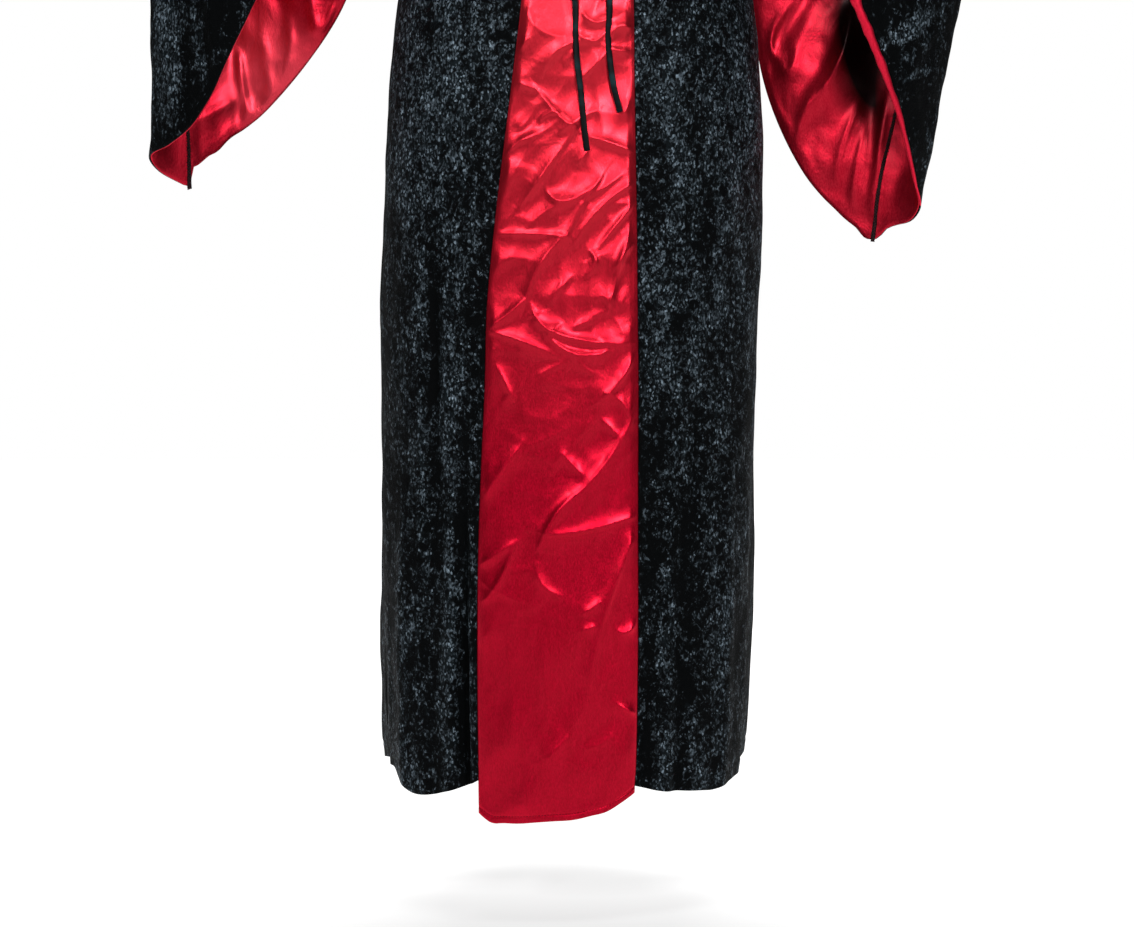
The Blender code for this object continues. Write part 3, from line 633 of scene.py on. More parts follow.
# Swells and ridges: how many waves are added, and their periods as parts of the one asked for
RIPPLE_WAVES, RIPPLE_PERIODS, RIPPLE_BEND = 7, (0.7, 1.5), 2.3
CRUMPLE_WAVES, CRUMPLE_PERIODS, CRUMPLE_BEND, CRUMPLE_MASK = 6, (0.8, 1.5), 1.9, 2.6
# The ridges' slopes, the part that rises to each side, how far they lean from the cloth, how round they are
CRUMPLE_SLOPES = (0.15, 1.35)
CRUMPLE_RISING = (0.3, 0.7)
CRUMPLE_LEAN = 0.3
CRUMPLE_ROUND = 0.004
# Where a random wave may start, in radians
PHASES = (0, 6)


def scattered(seed, count, box, length, height, width):
    """A table of small creases scattered over a box seen from the front."""
    rng = np.random.default_rng(seed)
    rows = []
    for _ in range(count):
        x, z = rng.uniform(box[0], box[1]), rng.uniform(box[2], box[3])
        half = rng.uniform(*length) / 2
        a = rng.uniform(*SCATTER_SLOPES) * rng.choice([-1, 1], p=SCATTER_RISING)
        dx, dz = half * cos(a), half * sin(a)
        bend = rng.uniform(-SCATTER_BEND, SCATTER_BEND) * half
        wide = rng.uniform(*width)
        places = (x - dx, z - dz, x - dz / half * bend, z + dx / half * bend, x + dx, z + dz)
        rows.append((*places, rng.uniform(*height), wide, wide * rng.uniform(*SCATTER_LOWER)))
    return rows


def wave(rng, upright=1.0):
    """A random direction, times the phase that a wave of one metre turns in a metre."""
    return unit(rng.normal(size=3) * [1.0, 1.0, upright]) * 2 * pi


def ripples(points, seed, period, height):
    """Soft, uneven swells of the cloth."""
    rng = np.random.default_rng(seed)
    total = np.zeros(points.shape[:2])
    for _ in range(RIPPLE_WAVES):
        way = wave(rng, 0.7) / (period * rng.uniform(*RIPPLE_PERIODS))
        bend = wave(rng) / (period * RIPPLE_BEND)
        bent = 1.3 * np.sin(points @ bend + rng.uniform(*PHASES))
        total += np.sin(points @ way + bent + rng.uniform(*PHASES))
    return total * height / 4


def swells(points, rows):
    return sum(ripples(points, *row) for row in rows)


def crumple(points, seed, period, height):
    """Sharp, broken ridges in several directions, as in satin that was folded away."""
    rng = np.random.default_rng(seed)
    total = np.zeros(points.shape[:2])
    for _ in range(CRUMPLE_WAVES):
        a = rng.uniform(*CRUMPLE_SLOPES) * rng.choice([-1, 1], p=CRUMPLE_RISING)
        way = np.array([-sin(a), rng.uniform(-CRUMPLE_LEAN, CRUMPLE_LEAN), cos(a)])
        way = way * pi / (period * rng.uniform(*CRUMPLE_PERIODS))
        bend = wave(rng) / (period * CRUMPLE_BEND)
        mask = wave(rng) / (period * CRUMPLE_MASK)
        phase = points @ way + 0.9 * np.sin(points @ bend + rng.uniform(*PHASES)) + rng.uniform(*PHASES)
        broken = 1.5 * np.sin(points @ bend * 0.7)
        gate = smooth(0.5 + np.sin(points @ mask + broken + rng.uniform(*PHASES)))
        total += (1 - np.sqrt(np.sin(phase) ** 2 + CRUMPLE_ROUND)) * gate
    return total * height / 2


def edge_distance(grid, axis, end):
    """How far each point lies from the first (0) or last (-1) row or column, along the cloth."""
    steps = np.linalg.norm(np.diff(grid, axis=axis), axis=-1)
    sums = np.concatenate([np.zeros_like(np.take(steps, [0], axis)), np.cumsum(steps, axis)], axis)
    return sums if end == 0 else np.take(sums, [-1], axis) - sums


def groove(away, depth, width):
    return -depth * np.exp(-((away / width) ** 2))


# Objects

def mesh_object(name, verts, faces, kind):
    mesh = bpy.data.meshes.new(name)
    mesh.from_pydata([tuple(v) for v in verts], [], faces)
    mesh.validate()
    mesh.polygons.foreach_set("use_smooth", [True] * len(mesh.polygons))
    made = bpy.data.objects.new(name, mesh)
    made.data.materials.append(MATERIALS[kind])
    bpy.context.scene.collection.objects.link(made)
    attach(made, "root")
    return made


def side_faces(rows, columns, closed, first):
    """The faces of one side of a wall whose points are numbered from first."""
    across = columns if closed else columns - 1
    row, column = np.meshgrid(np.arange(rows - 1), np.arange(across), indexing="ij")
    a = (first + row * columns + column).ravel()
    b = (first + row * columns + (column + 1) % columns).ravel()
    return np.stack([a, a + columns, b + columns, b], axis=1)


def edge_lines(rows, columns, closed, first):
    """The numbers of the points along each edge of a side, in one turn round it."""
    number = first + np.arange(rows * columns).reshape(rows, columns)
    if closed:
        ring = np.concatenate([number, number[:, :1]], axis=1)
        return [ring[0], ring[-1, ::-1]]
    return [number[0], number[:, -1], number[-1, ::-1], number[::-1, 0]]


def wall(name, outer, inner, kind, closed=False, step=1):
    """One closed body between two grids of points, with hard edges round its rim.

    step is how many cells of the outer side meet one cell of the inner side along an edge."""
    inner = inner[::step, ::step]
    count = outer.shape[0] * outer.shape[1]
    verts = np.vstack([outer.reshape(-1, 3), inner.reshape(-1, 3)])
    front = side_faces(*outer.shape[:2], closed, 0)
    back = side_faces(*inner.shape[:2], closed, count)[:, ::-1]
    rim = []
    lines = zip(edge_lines(*outer.shape[:2], closed, 0), edge_lines(*inner.shape[:2], closed, count))
    for near, far in lines:
        for k in range(len(far) - 1):
            rim.append([*near[k * step : (k + 1) * step + 1].tolist(), int(far[k + 1]), int(far[k])])
    made = mesh_object(name, verts, front.tolist() + back.tolist() + rim, kind)
    mesh = made.data
    if half_volume(verts, front) + half_volume(verts, back) < 0:
        mesh.flip_normals()
    sharp = np.zeros(len(mesh.polygons), bool)
    sharp[len(front) + len(back):] = True
    mesh.polygons.foreach_set("use_smooth", ~sharp)
    return made


def half_volume(verts, faces):
    """The part of a body's signed volume that one of its sides adds."""
    p = verts[faces] - verts.mean(axis=0)
    first = np.einsum("ij,ij->i", p[:, 0], np.cross(p[:, 1], p[:, 2])).sum()
    second = np.einsum("ij,ij->i", p[:, 0], np.cross(p[:, 2], p[:, 3])).sum()
    return first + second


def painted_fold_light(middle, normals, closed):
    """Half where the cloth is even, more on the crest of a fold and less in a valley, from 0 to 1. The velvet
    paints light on the crests and shade in the valleys from it.
    """
    columns = middle.shape[1]
    spacing = np.linalg.norm(np.diff(middle, axis=1), axis=-1).mean()
    reach = max(round(RELIEF_REACH / spacing), 1)
    total = np.zeros_like(middle)
    for shift in range(-reach, reach + 1):
        at = np.arange(columns) + shift
        total += middle[:, at % columns if closed else np.clip(at, 0, columns - 1)]
    above = ((middle - total / (2 * reach + 1)) * normals).sum(axis=-1)
    if not closed:
        edge = np.minimum(np.arange(columns), np.arange(columns)[::-1]) / reach
        above *= smooth(edge)[None]
    return np.clip(0.5 + above / RELIEF_FULL / 2, 0, 1)


def shell(name, grid, normals, thick, heights, kind, closed=False, step=1):
    middle = grid + heights[..., None] * normals
    made = wall(name, middle + normals * thick / 2, middle - normals * thick / 2, kind, closed, step)
    # The fold relief kept on the points, from which the velvet paints light and shade
    height = painted_fold_light(middle, normals, closed)
    values = np.concatenate([height.ravel(), height[::step, ::step].ravel()])
    made.data.attributes.new("painted_fold_light", "FLOAT", "POINT").data.foreach_set("value", values)
    return made


# Materials

class Graph:
    """The nodes of a material or world. A socket takes a number, a tuple or another node's socket."""

    def __init__(self, owner):
        owner.use_nodes = True
        self.owner, self.nodes, self.links = owner, owner.node_tree.nodes, owner.node_tree.links

    def fill(self, node, inputs):
        for key, value in dict(inputs).items():
            socket = node.inputs[key]
            if isinstance(value, bpy.types.NodeSocket):
                self.links.new(value, socket)
            elif isinstance(value, tuple):
                socket.default_value = value + (1,) * (len(socket.default_value) - len(value))
            else:
                socket.default_value = value

    def add(self, kind, inputs=(), **settings):
        node = self.nodes.new(kind)
        for key, value in settings.items():
            setattr(node, key, value)
        self.fill(node, inputs)
        return node

    def texture(self, kind, inputs, mapping, mapping_type="POINT", **settings):
        """A texture read at the object's own places, as a mapping moves them."""
        moved = self.add("ShaderNodeMapping", {**mapping, "Vector": self.place}, vector_type=mapping_type)
        return self.add(kind, {**inputs, "Vector": moved.outputs[0]}, **settings).outputs

    def noise(self, scale, detail=2.0, rough=0.5, distort=0.0, stretch=(1, 1, 1)):
        inputs = {"Scale": scale, "Detail": detail, "Roughness": rough, "Distortion": distort}
        return self.texture("ShaderNodeTexNoise", inputs, {"Scale": stretch})["Fac"]

    def flecks(self, scale, stretch):
        """A crisp random value for each small grain."""
        cells = self.texture("ShaderNodeTexVoronoi", {"Scale": scale}, {"Scale": stretch})
        return self.add("ShaderNodeSeparateColor", {0: cells["Color"]}).outputs[0]

    def coordinate(self, axis):
        return self.add("ShaderNodeSeparateXYZ", {0: self.place}).outputs[axis]

    def ramp(self, value, *stops):
        """Grey levels along a value, each stop a place and its level."""
        made = self.add("ShaderNodeValToRGB", {0: value})
        marks = made.color_ramp.elements
        for mark, (place, level) in ((marks[0], stops[0]), (marks[1], stops[-1])):
            mark.position, mark.color = place, (level, level, level, 1)
        for place, level in stops[1:-1]:
            marks.new(place).color = (level, level, level, 1)
        return made.outputs[0]

    def mixed(self, factor, a, b):
        return self.add("ShaderNodeMix", {0: factor, 6: a, 7: b}, data_type="RGBA").outputs[2]

    def maths(self, kind, a, b):
        return self.add("ShaderNodeMath", {0: a, 1: b}, operation=kind).outputs[0]

    def weighted(self, *pairs):
        """The sum of values, each times its weight."""
        total, *others = (self.maths("MULTIPLY", value, weight) for value, weight in pairs)
        for part in others:
            total = self.maths("ADD", total, part)
        return total

    def bump(self, height, distance, strength, below=None):
        inputs = {"Strength": strength, "Distance": distance, "Height": height}
        if below is not None:
            inputs["Normal"] = below
        return self.add("ShaderNodeBump", inputs).outputs[0]

    def painted_light_mask(self, middle, turn, radii, full=0.48):
        """1 in the middle of an oval, 0 outside it: the mask where light or shade is painted. turn is in
        degrees about the y axis.
        """
        mapping = {"Location": middle, "Rotation": (0.0, radians(turn), 0.0), "Scale": radii}
        oval = self.texture("ShaderNodeTexGradient", {}, mapping, "TEXTURE", gradient_type="SPHERICAL")
        return self.ramp(oval["Fac"], (0.02, 0), (full, 1))

    def surface(self, **inputs):
        """Fills the material's shader and gives the material. A socket's name has _ for a space."""
        named = {key.replace("_", " "): value for key, value in inputs.items()}
        self.fill(self.nodes["Principled BSDF"], named)
        return self.owner


def material_graph(name):
    graph = Graph(bpy.data.materials.new(name))
    graph.place = graph.add("ShaderNodeTexCoord").outputs["Object"]
    return graph


def velvet_material(name, shift, painted_glints=()):
    """Crushed velvet. shift darkens it overall, and the glints are ovals of painted highlight."""
    graph = material_graph(name)
    grain = graph.flecks(640, (1.0, 1.0, 0.6))
    patch = graph.noise(125, 5.0, 0.72, 0.9, (1.0, 1.0, 0.9))
    streak = graph.noise(42, 3.0, 0.6, 0.6, (1.0, 1.0, 0.32))
    broad = graph.noise(12, 2.0, 0.5, 0.3, (1.0, 1.0, 0.45))
    low = graph.ramp(graph.maths("MULTIPLY", graph.coordinate("Z"), -1.0), (0.70, 0), (1.15, 1))
    # Painted light on the crests of folds and painted shade in their valleys, from the cloth's relief
    crest = graph.add("ShaderNodeAttribute", attribute_name="painted_fold_light").outputs["Fac"]
    lay = graph.weighted((patch, 0.60), (streak, 0.26), (broad, 0.14), (low, -0.032), (crest, 0.10))
    lay = graph.maths("SUBTRACT", lay, shift)
    # Painted highlights: each glint oval lifts the velvet's brightness
    for *oval, lift in painted_glints:
        lay = graph.maths("ADD", lay, graph.maths("MULTIPLY", graph.painted_light_mask(*oval), lift))
    lit = graph.ramp(lay, (0.445, 0), (0.622, 1))
    specks = graph.maths("MULTIPLY", lit, graph.ramp(grain, (0.50, 0), (0.88, 0.38), (1.0, 1)))
    soft = graph.mixed(lit, (0.0005, 0.0009, 0.0012), (0.0060, 0.0105, 0.0135))
    return graph.surface(
        Base_Color=graph.mixed(specks, soft, (0.370, 0.480, 0.580)),
        Roughness=graph.ramp(lay, (0.42, 0.78), (0.60, 0.46)),
        Normal=graph.bump(grain, 0.0012, 0.55, graph.bump(lay, 0.012, 0.35)),
        Specular_IOR_Level=0.06,
        Sheen_Weight=0.006,
        Sheen_Roughness=0.35,
        Sheen_Tint=(0.55, 0.72, 0.85),
    )


def satin_material(name, deep, bright, rough, coat, metal=0.82, light_and_shade_ovals=()):
    """Satin. Each of the ovals paints light or shade in another colour: middle, turn, half sizes, ramp,
    colour.
    """
    graph = material_graph(name)
    weave = graph.noise(900, 2.0, 0.6, 0.0, (1.0, 1.0, 0.35))
    slub = graph.noise(160, 2.0, 0.55, 0.0, (1.0, 1.0, 0.12))
    uneven = graph.noise(34, 3.0, 0.5, 1.2)
    tone = graph.weighted((weave, 0.75), (slub, 0.25))
    colour = graph.mixed(graph.ramp(tone, (0.36, 0), (0.64, 1)), deep, bright)
    for *oval, tint in light_and_shade_ovals:
        colour = graph.mixed(graph.painted_light_mask(*oval), colour, tint)
    return graph.surface(
        Base_Color=colour,
        Roughness=graph.ramp(weave, (0.3, rough - 0.04), (0.7, rough + 0.06)),
        Normal=graph.bump(weave, 0.0004, 0.35, graph.bump(uneven, 0.006, 0.10)),
        Metallic=metal,
        Specular_IOR_Level=0.25,
        Specular_Tint=(1.0, 0.36, 0.46),
        Coat_Weight=coat,
        Coat_Roughness=0.28,
        Sheen_Weight=0.02,
        Sheen_Tint=(1.0, 0.5, 0.55),
    )


def ribbon_material():
    graph = material_graph("black_ribbon")
    weave = graph.noise(1400, 1.0, 0.5, 0.0, (0.4, 1.0, 1.0))
    glint = graph.noise(55, 2.0, 0.5, 0.0, (0.4, 0.4, 1.0))
    lit = graph.ramp(glint, (0.50, 0), (0.66, 1))
    return graph.surface(
        Base_Color=graph.mixed(lit, (0.0025, 0.0040, 0.0050), (0.0060, 0.0240, 0.0290)),
        Roughness=0.45,
        Normal=graph.bump(weave, 0.0003, 0.4),
        Specular_IOR_Level=0.08,
    )


def thread_material(name, dark, light):
    graph = material_graph(name)
    twist = graph.noise(1100, 1.0, 0.5)
    return graph.surface(
        Base_Color=graph.mixed(graph.ramp(twist, (0.40, 0), (0.60, 1)), dark, light),
        Roughness=0.7,
        Normal=graph.bump(twist, 0.0003, 0.5),
        Specular_IOR_Level=0.1,
    )


# How strongly the floor glows from front to back: y, level. The ramp starts at y -6 and is 6.6 m long
FLOOR_GLOW = ((-4.4, 1.0), (-3.4, 0.45), (-2.4, 0.08), (-1.2, 0.06), (-0.45, 0.2), (0.0, 1.0))
GLOW_START = 6.0
GLOW_LENGTH = 6.6


def floor_material(name, colour, glow):
    """Pale paper that glows, except just before the gown, where the satin would mirror it."""
    graph = material_graph(name)
    share = graph.maths("DIVIDE", graph.maths("ADD", graph.coordinate("Y"), GLOW_START), GLOW_LENGTH)
    levels = graph.ramp(share, *(((y + GLOW_START) / GLOW_LENGTH, level) for y, level in FLOOR_GLOW))
    return graph.surface(
        Base_Color=graph.mixed(graph.noise(3, 1.0), colour, tuple(c * 0.99 for c in colour)),
        Roughness=0.9,
        Specular_IOR_Level=0.1,
        Emission_Color=(1, 1, 1),
        Emission_Strength=graph.maths("MULTIPLY", levels, glow),
    )


# Painted light on the upper front panel's satin, an oval of lighter colour: middle, turn, half sizes, ramp,
# colour
SATIN_PAINTED_LIGHT = (((0.0, -0.15, -0.52), 0.0, (0.35, 0.60, 0.50), 1.4, (0.80, 0.026, 0.046)),)
# Painted shade in the left bell's hollow, a painted shadow beside its seam, and painted light on the right
# bell's lining, in the same way
LINING_PAINTED_SHADE_AND_LIGHT = (
    ((0.3060, 0.05, -0.590), -15.0, (0.048, 0.30, 0.150), 0.62, (0.004, 0.001, 0.001)),
    ((0.3370, 0.05, -0.665), -8.0, (0.015, 0.30, 0.070), 1.00, (0.160, 0.001, 0.007)),
    ((-0.2950, 0.00, -0.640), -35.0, (0.075, 0.30, 0.130), 0.55, (1.0, 0.062, 0.100)),
)
# Painted highlights on the sleeves' velvet, ovals that lift its brightness: middle, turn, half sizes, lift
SLEEVE_PAINTED_GLINTS = (
    ((-0.415, -0.05, -0.540), -2.0, (0.026, 0.15, 0.150), 0.075),
    ((-0.385, -0.05, -0.545), -8.0, (0.009, 0.15, 0.100), 0.070),
    ((-0.365, -0.05, -0.590), 70.0, (0.010, 0.15, 0.050), 0.060),
    ((0.347, -0.05, -0.560), 60.0, (0.013, 0.15, 0.045), 0.090),
    ((0.358, -0.05, -0.607), 75.0, (0.006, 0.15, 0.026), 0.090),
    ((0.330, -0.05, -0.520), 30.0, (0.009, 0.15, 0.050), 0.045),
    ((0.385, -0.05, -0.540), 5.0, (0.006, 0.15, 0.060), 0.050),
)

MATERIALS = {
    "velvet": velvet_material("crushed_velvet", 0.074),
    # The sleeves' velvet is a darker copy of the body's, with painted highlights
    "sleeve_velvet": velvet_material("crushed_sleeve_velvet", 0.142, SLEEVE_PAINTED_GLINTS),
    "satin": satin_material(
        "red_satin", (0.53, 0.0004, 0.018), (0.68, 0.0016, 0.029), 0.36, 0.17, 0.91, SATIN_PAINTED_LIGHT
    ),
    "lining": satin_material(
        "red_lining_satin", (0.56, 0.0050, 0.024), (0.68, 0.0180, 0.042), 0.38, 0.06, light_and_shade_ovals=LINING_PAINTED_SHADE_AND_LIGHT
    ),
    # The turned edge's satin is a brighter copy of the lining's satin: painted light on the rolled edge
    "turned": satin_material("red_turned_satin_painted_light", (0.80, 0.008, 0.040), (0.92, 0.020, 0.062), 0.40, 0.10),
    "ribbon": ribbon_material(),
    "dark_thread": thread_material("dark_thread", (0.002, 0.0015, 0.002), (0.010, 0.004, 0.005)),
    "brown_thread": thread_material("brown_thread", (0.008, 0.003, 0.004), (0.045, 0.018, 0.020)),
    "red_thread": thread_material("red_thread", (0.08, 0.001, 0.006), (0.18, 0.003, 0.014)),
}


# Camera and the cords first

def aimed(name, data, place, aim):
    """A camera or light at a place, turned to another."""
    made = bpy.data.objects.new(name, data)
    made.location = place
    made.rotation_euler = (Vector(aim) - Vector(place)).to_track_quat("-Z", "Y").to_euler()
    bpy.context.scene.collection.objects.link(made)
    return made


def make_camera():
    data = bpy.data.cameras.new("camera")
    data.sensor_fit = "HORIZONTAL"
    data.sensor_width = 36.0
    data.lens = LENS
    data.clip_end = 60
    bpy.context.scene.camera = aimed("camera", data, CAMERA, AIM)


def ribbon(name, middle, across, outward, curl=0.0):
    """A flat ribbon with slightly cupped edges."""
    t = np.linspace(-1, 1, 7)
    half = RIBBON_WIDTH / 2
    grid = middle[:, None] + across[:, None] * (t * half)[None, :, None]
    grid = grid + outward[:, None] * (curl * (t**2 - 0.5))[None, :, None]
    normals = np.repeat(outward[:, None], len(t), axis=1)
    return shell(name, grid, normals, RIBBON_THICK, np.zeros(grid.shape[:2]), "ribbon")


def tie_end(name, points):
    middle = along(points, 12 * (len(points) - 1))
    tangent = unit(np.gradient(middle, axis=0))
    outward = unit(-np.cross(tangent, np.array([1.0, 0.0, 0.0])))
    across = unit(np.cross(outward, tangent))
    turn = np.radians(14) * np.sin(np.linspace(0, 1, len(middle)) * 7)[:, None]
    swung = across * np.cos(turn) + outward * np.sin(turn)
    facing = outward * np.cos(turn) - across * np.sin(turn)
    made = ribbon(name + "_ribbon", middle, swung, facing, 0.0004)
    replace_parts(made, name)


# The cloth pieces


def declare(made, name):
    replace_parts(made, name)


def finer_cloth(grid, out, rows_at, columns_at, closed=False):
    """A piece's finer points and the directions out of its cloth."""
    return finer(grid, rows_at, columns_at, closed), unit(finer(out, rows_at, columns_at, closed))


def satin_heights(fine, side, hem):
    heights = crease_heights(fine, SATIN_CREASES + SMALL_CREASES)
    worn = WORN_LEAST + (1 - WORN_LEAST) * smooth((fine[..., 2] - WORN_Z) / WORN_FADE)
    heights += swells(fine, SATIN_SWELLS) + crumple(fine, *SATIN_CRUMPLE) * worn
    heights *= smooth(side / SATIN_CALM) * smooth(hem / HEM_CALM)
    return heights + (groove(side, *SATIN_SEAM) + groove(hem - SATIN_HEM, *SATIN_STITCHING))


def velvet_heights(fine, side, hem, rows):
    heights = crease_heights(fine, rows) + swells(fine, VELVET_SWELLS)
    top = edge_distance(fine, 0, 0)
    heights = heights * smooth(side / VELVET_CALM) * smooth(hem / HEM_CALM) * smooth(top / HEM_CALM)
    return heights + (groove(side, *VELVET_SEAM) + groove(hem - VELVET_HEM, *VELVET_STITCHING))


def body_piece(name, grids, normals):
    grid = grids[name]
    rows, columns = grid.shape[0] - 1, grid.shape[1] - 1
    if name == "front_centre":
        down = [SATIN_DOWN] * SATIN_LOW_ROW + [SATIN_DOWN_LOW] * (rows - SATIN_LOW_ROW)
        across, thick, kind, step = SATIN_ACROSS, SATIN, "satin", INSIDE_STEP
    else:
        down = [VELVET_DOWN] * (rows - 1) + [2 * VELVET_DOWN]
        across = SIDE_ACROSS if name.startswith("front") else BACK_ACROSS
        thick, kind, step = VELVET, "velvet", 1
    fine, facing = finer_cloth(grid, normals[name], steps_of(down), steps_of([across] * columns))
    side = np.minimum(edge_distance(fine, 1, 0), edge_distance(fine, 1, -1))
    hem = edge_distance(fine, 0, -1)
    if name == "front_centre":
        heights = satin_heights(fine, side, hem)
    else:
        heights = velvet_heights(fine, side, hem, VELVET_CREASES if name.startswith("front") else BACK_CREASES)
    fine[:, 0] += unit(fine[:, 1] - fine[:, 0]) * CLOTH_GAP / 2
    fine[:, -1] += unit(fine[:, -2] - fine[:, -1]) * CLOTH_GAP / 2
    declare(shell(name + "_cloth", fine, facing, thick, heights, kind, step=step), name)
    return fine, facing, heights


def pull_cuff(word, fine, cuff):
    """Draws a cuff down to its seam and corners."""
    shares = np.arange(fine.shape[1]) / fine.shape[1]
    for middle, before, after, drop in CUFF_PULLS[word]:
        away = np.clip(np.abs(shares - middle) / np.where(shares < middle, before, after), 0, 1)
        fine[..., 2] -= drop * (np.cos(away * pi / 2) ** 2)[None] * (1 - smooth(cuff / CUFF_PULL_REACH))


def sleeve_heights(word, fine, facing, cuff):
    """The creases that a sleeve's velvet and its lining share."""
    heights = swells(fine, SLEEVE_SWELLS)
    front = smooth((0.3 - facing[..., 1]) / 0.4)
    heights += crease_heights(fine, SLEEVE_CREASES[word]) * front
    return heights * smooth(cuff / HEM_CALM) + groove(cuff - CUFF_HEM, *CUFF_STITCHING)


def sleeve(word, grid, out, edges):
    rows_at = steps_of([SLEEVE_DOWN] * (len(grid) - 1))
    fine, facing = finer_cloth(grid, out, rows_at, SLEEVE_COLUMNS_AT, True)
    fade = (1 - smooth(rows_at / SLEEVE_JOIN))[:, None, None]
    fine = fine + (edges[0] - fine[0])[None] * fade
    facing = unit(facing + (edges[1] - facing[0])[None] * fade)
    top, cuff = edge_distance(fine, 0, 0), edge_distance(fine, 0, -1)
    pull_cuff(word, fine, cuff)
    heights = sleeve_heights(word, fine, facing, cuff) * smooth(top / HEM_CALM) + groove(top, *VELVET_SEAM)
    fine[0] += unit(fine[1] - fine[0]) * CLOTH_GAP / 2
    name = f"sleeve_{word}"
    declare(shell(name + "_cloth", fine, facing, VELVET, heights, "sleeve_velvet", True), name)


def sleeve_lining(word, grid, out):
    """The bell's lining, a seam's gap inside its velvet. Gives its points and the directions out of it."""
    rows_at = steps_of([LINING_DOWN] * (len(grid) - 1))
    fine, facing = finer_cloth(grid, out, rows_at, SLEEVE_COLUMNS_AT, True)
    cuff = edge_distance(fine, 0, -1)
    pull_cuff(word, fine, cuff)
    inside = CAD_VELVET / 2 + SEAM_GAP + CAD_SATIN / 2
    back = smooth((facing[..., 1] + 0.1) / 0.3)
    heights = -crease_heights(fine, LINING_CREASES[word]) * back
    heights -= crease_heights(fine, LINING_FRONT) * (1 - back)
    heights -= sum(np.abs(ripples(fine, *row)) for row in LINING_SWELLS)
    heights = np.minimum(heights * smooth(cuff / LINING_CALM), 0) - inside
    heights += sleeve_heights(word, fine, facing, cuff)
    name = f"sleeve_lining_{word}"
    declare(shell(name + "_cloth", fine, facing, SATIN, heights, "lining", True), name)
    return fine + facing * heights[..., None], facing


SMALL_CREASES = tuple(
    scattered(41, 26, (-0.085, 0.062, -0.95, -0.54), (0.015, 0.05), (0.5, 1.3), (3, 7))
    + scattered(43, 12, (-0.090, 0.065, -1.33, -0.95), (0.02, 0.06), (0.3, 0.8), (5, 12))
    + scattered(47, 16, (-0.050, 0.050, -0.52, -0.15), (0.02, 0.06), (0.5, 1.4), (4, 9))
)
VELVET_CREASES = creases(
    (-139, -769, -141, -893, -137, -1016, -2.4, 8, 8), (131, -936, 127, -1013, 134, -1083, -2.4, 7, 7),
    (81, -1095, 100, -1166, 122, -1236, -2.0, 9, 9), (-100, -590, -85, -620, -78, -660, -1.4, 7, 7),
    (85, -560, 90, -600, 105, -640, -1.2, 7, 7), (-160, -1120, -155, -1180, -158, -1250, -1.6, 9, 9),
)
BACK_CREASES = creases(
    (-120, -385, -85, -405, -40, -400, 1.6, 7, 5), (118, -378, 80, -402, 35, -408, 1.5, 6, 5),
    (-128, -425, -100, -470, -60, -500, 1.7, 8, 6), (130, -430, 105, -465, 70, -515, 1.8, 8, 6),
    (-50, -480, -58, -560, -54, -680, -2.2, 8, 8), (46, -490, 52, -600, 60, -720, -2.0, 8, 8),
    (-105, -560, -112, -700, -110, -860, -2.0, 9, 9), (112, -600, 108, -760, 116, -900, -1.9, 9, 9),
    (-140, -200, -118, -250, -108, -310, 1.5, 8, 6), (142, -205, 122, -245, 110, -300, 1.4, 8, 6),
    (-78, -120, -60, -180, -58, -250, -1.2, 9, 9), (82, -110, 64, -190, 60, -260, -1.3, 9, 9),
    (-72, -900, -80, -1040, -78, -1200, -1.8, 9, 9), (70, -960, 78, -1080, 80, -1260, -1.7, 9, 9),
)
SLEEVE_CREASES = {
    "right": creases(
        (-368, -500, -366, -560, -358, -610, 2.4, 6, 6), (-358, -610, -350, -590, -335, -560, 1.8, 5, 5),
        (-400, -480, -405, -560, -410, -640, 2.2, 12, 12),
    ),
    "left": creases(
        (330, -480, 345, -540, 350, -600, 2.0, 9, 9), (350, -560, 362, -575, 372, -560, 1.8, 5, 5),
        (345, -610, 352, -630, 358, -650, 1.4, 6, 6),
    ),
}
LINING_CREASES = {
    "right": creases(
        (-352, -590, -350, -615, -343, -655, 3.2, 8, 4), (-399, -662, -378, -652, -358, -642, 2.6, 8, 4),
        (-275, -535, -270, -560, -266, -569, 2.8, 7, 4), (-266, -569, -258, -560, -250, -540, 2.6, 5, 5),
        (-300, -550, -296, -580, -302, -610, 2.0, 9, 6), (-330, -560, -322, -600, -318, -640, 1.6, 8, 8),
    ),
    "left": creases(
        (232, -540, 212, -575, 222, -600, 3.0, 8, 4), (222, -600, 232, -612, 240, -590, 2.4, 5, 5),
        (296, -545, 284, -605, 240, -665, 8.0, 16, 9), (262, -630, 250, -650, 238, -690, 2.6, 6, 5),
        (303, -645, 286, -690, 282, -725, 3.0, 7, 7), (310, -670, 302, -715, 298, -745, 2.6, 6, 6),
        (208, -600, 214, -640, 232, -680, 1.8, 6, 6), (333, -635, 326, -690, 319, -752, 3.0, 5, 12),
    ),
}

LINING_FRONT = creases(
    (300, -560, 320, -600, 335, -660, 1.8, 7, 7), (-330, -540, -350, -590, -375, -640, 1.8, 7, 7),
)


# The underarm seams inside the bells: share of the way round at the cuff, how far the seam leans by its
# upper end, the share of the lining's length where it starts to show, and the width of its bound edge
SLEEVE_SEAMS = {"right": (0.5573, 0.0, 0.78, 0.0050), "left": (0.560, 0.016, 0.50, 0.0045)}
SEAM_TAIL = 0.0025
SEAM_LIFT = 0.0012
# How a cuff is pulled out of its smooth outline: share of the way round, how far the pull reaches
# before and after it, drop in metres
CUFF_PULLS = {
    "right": ((0.5573, 0.015, 0.004, 0.002), (0.5625, 0.004, 0.050, -0.018)),
    "left": ((0.590, 0.022, 0.035, -0.004), (0.545, 0.032, 0.012, -0.008)),
}
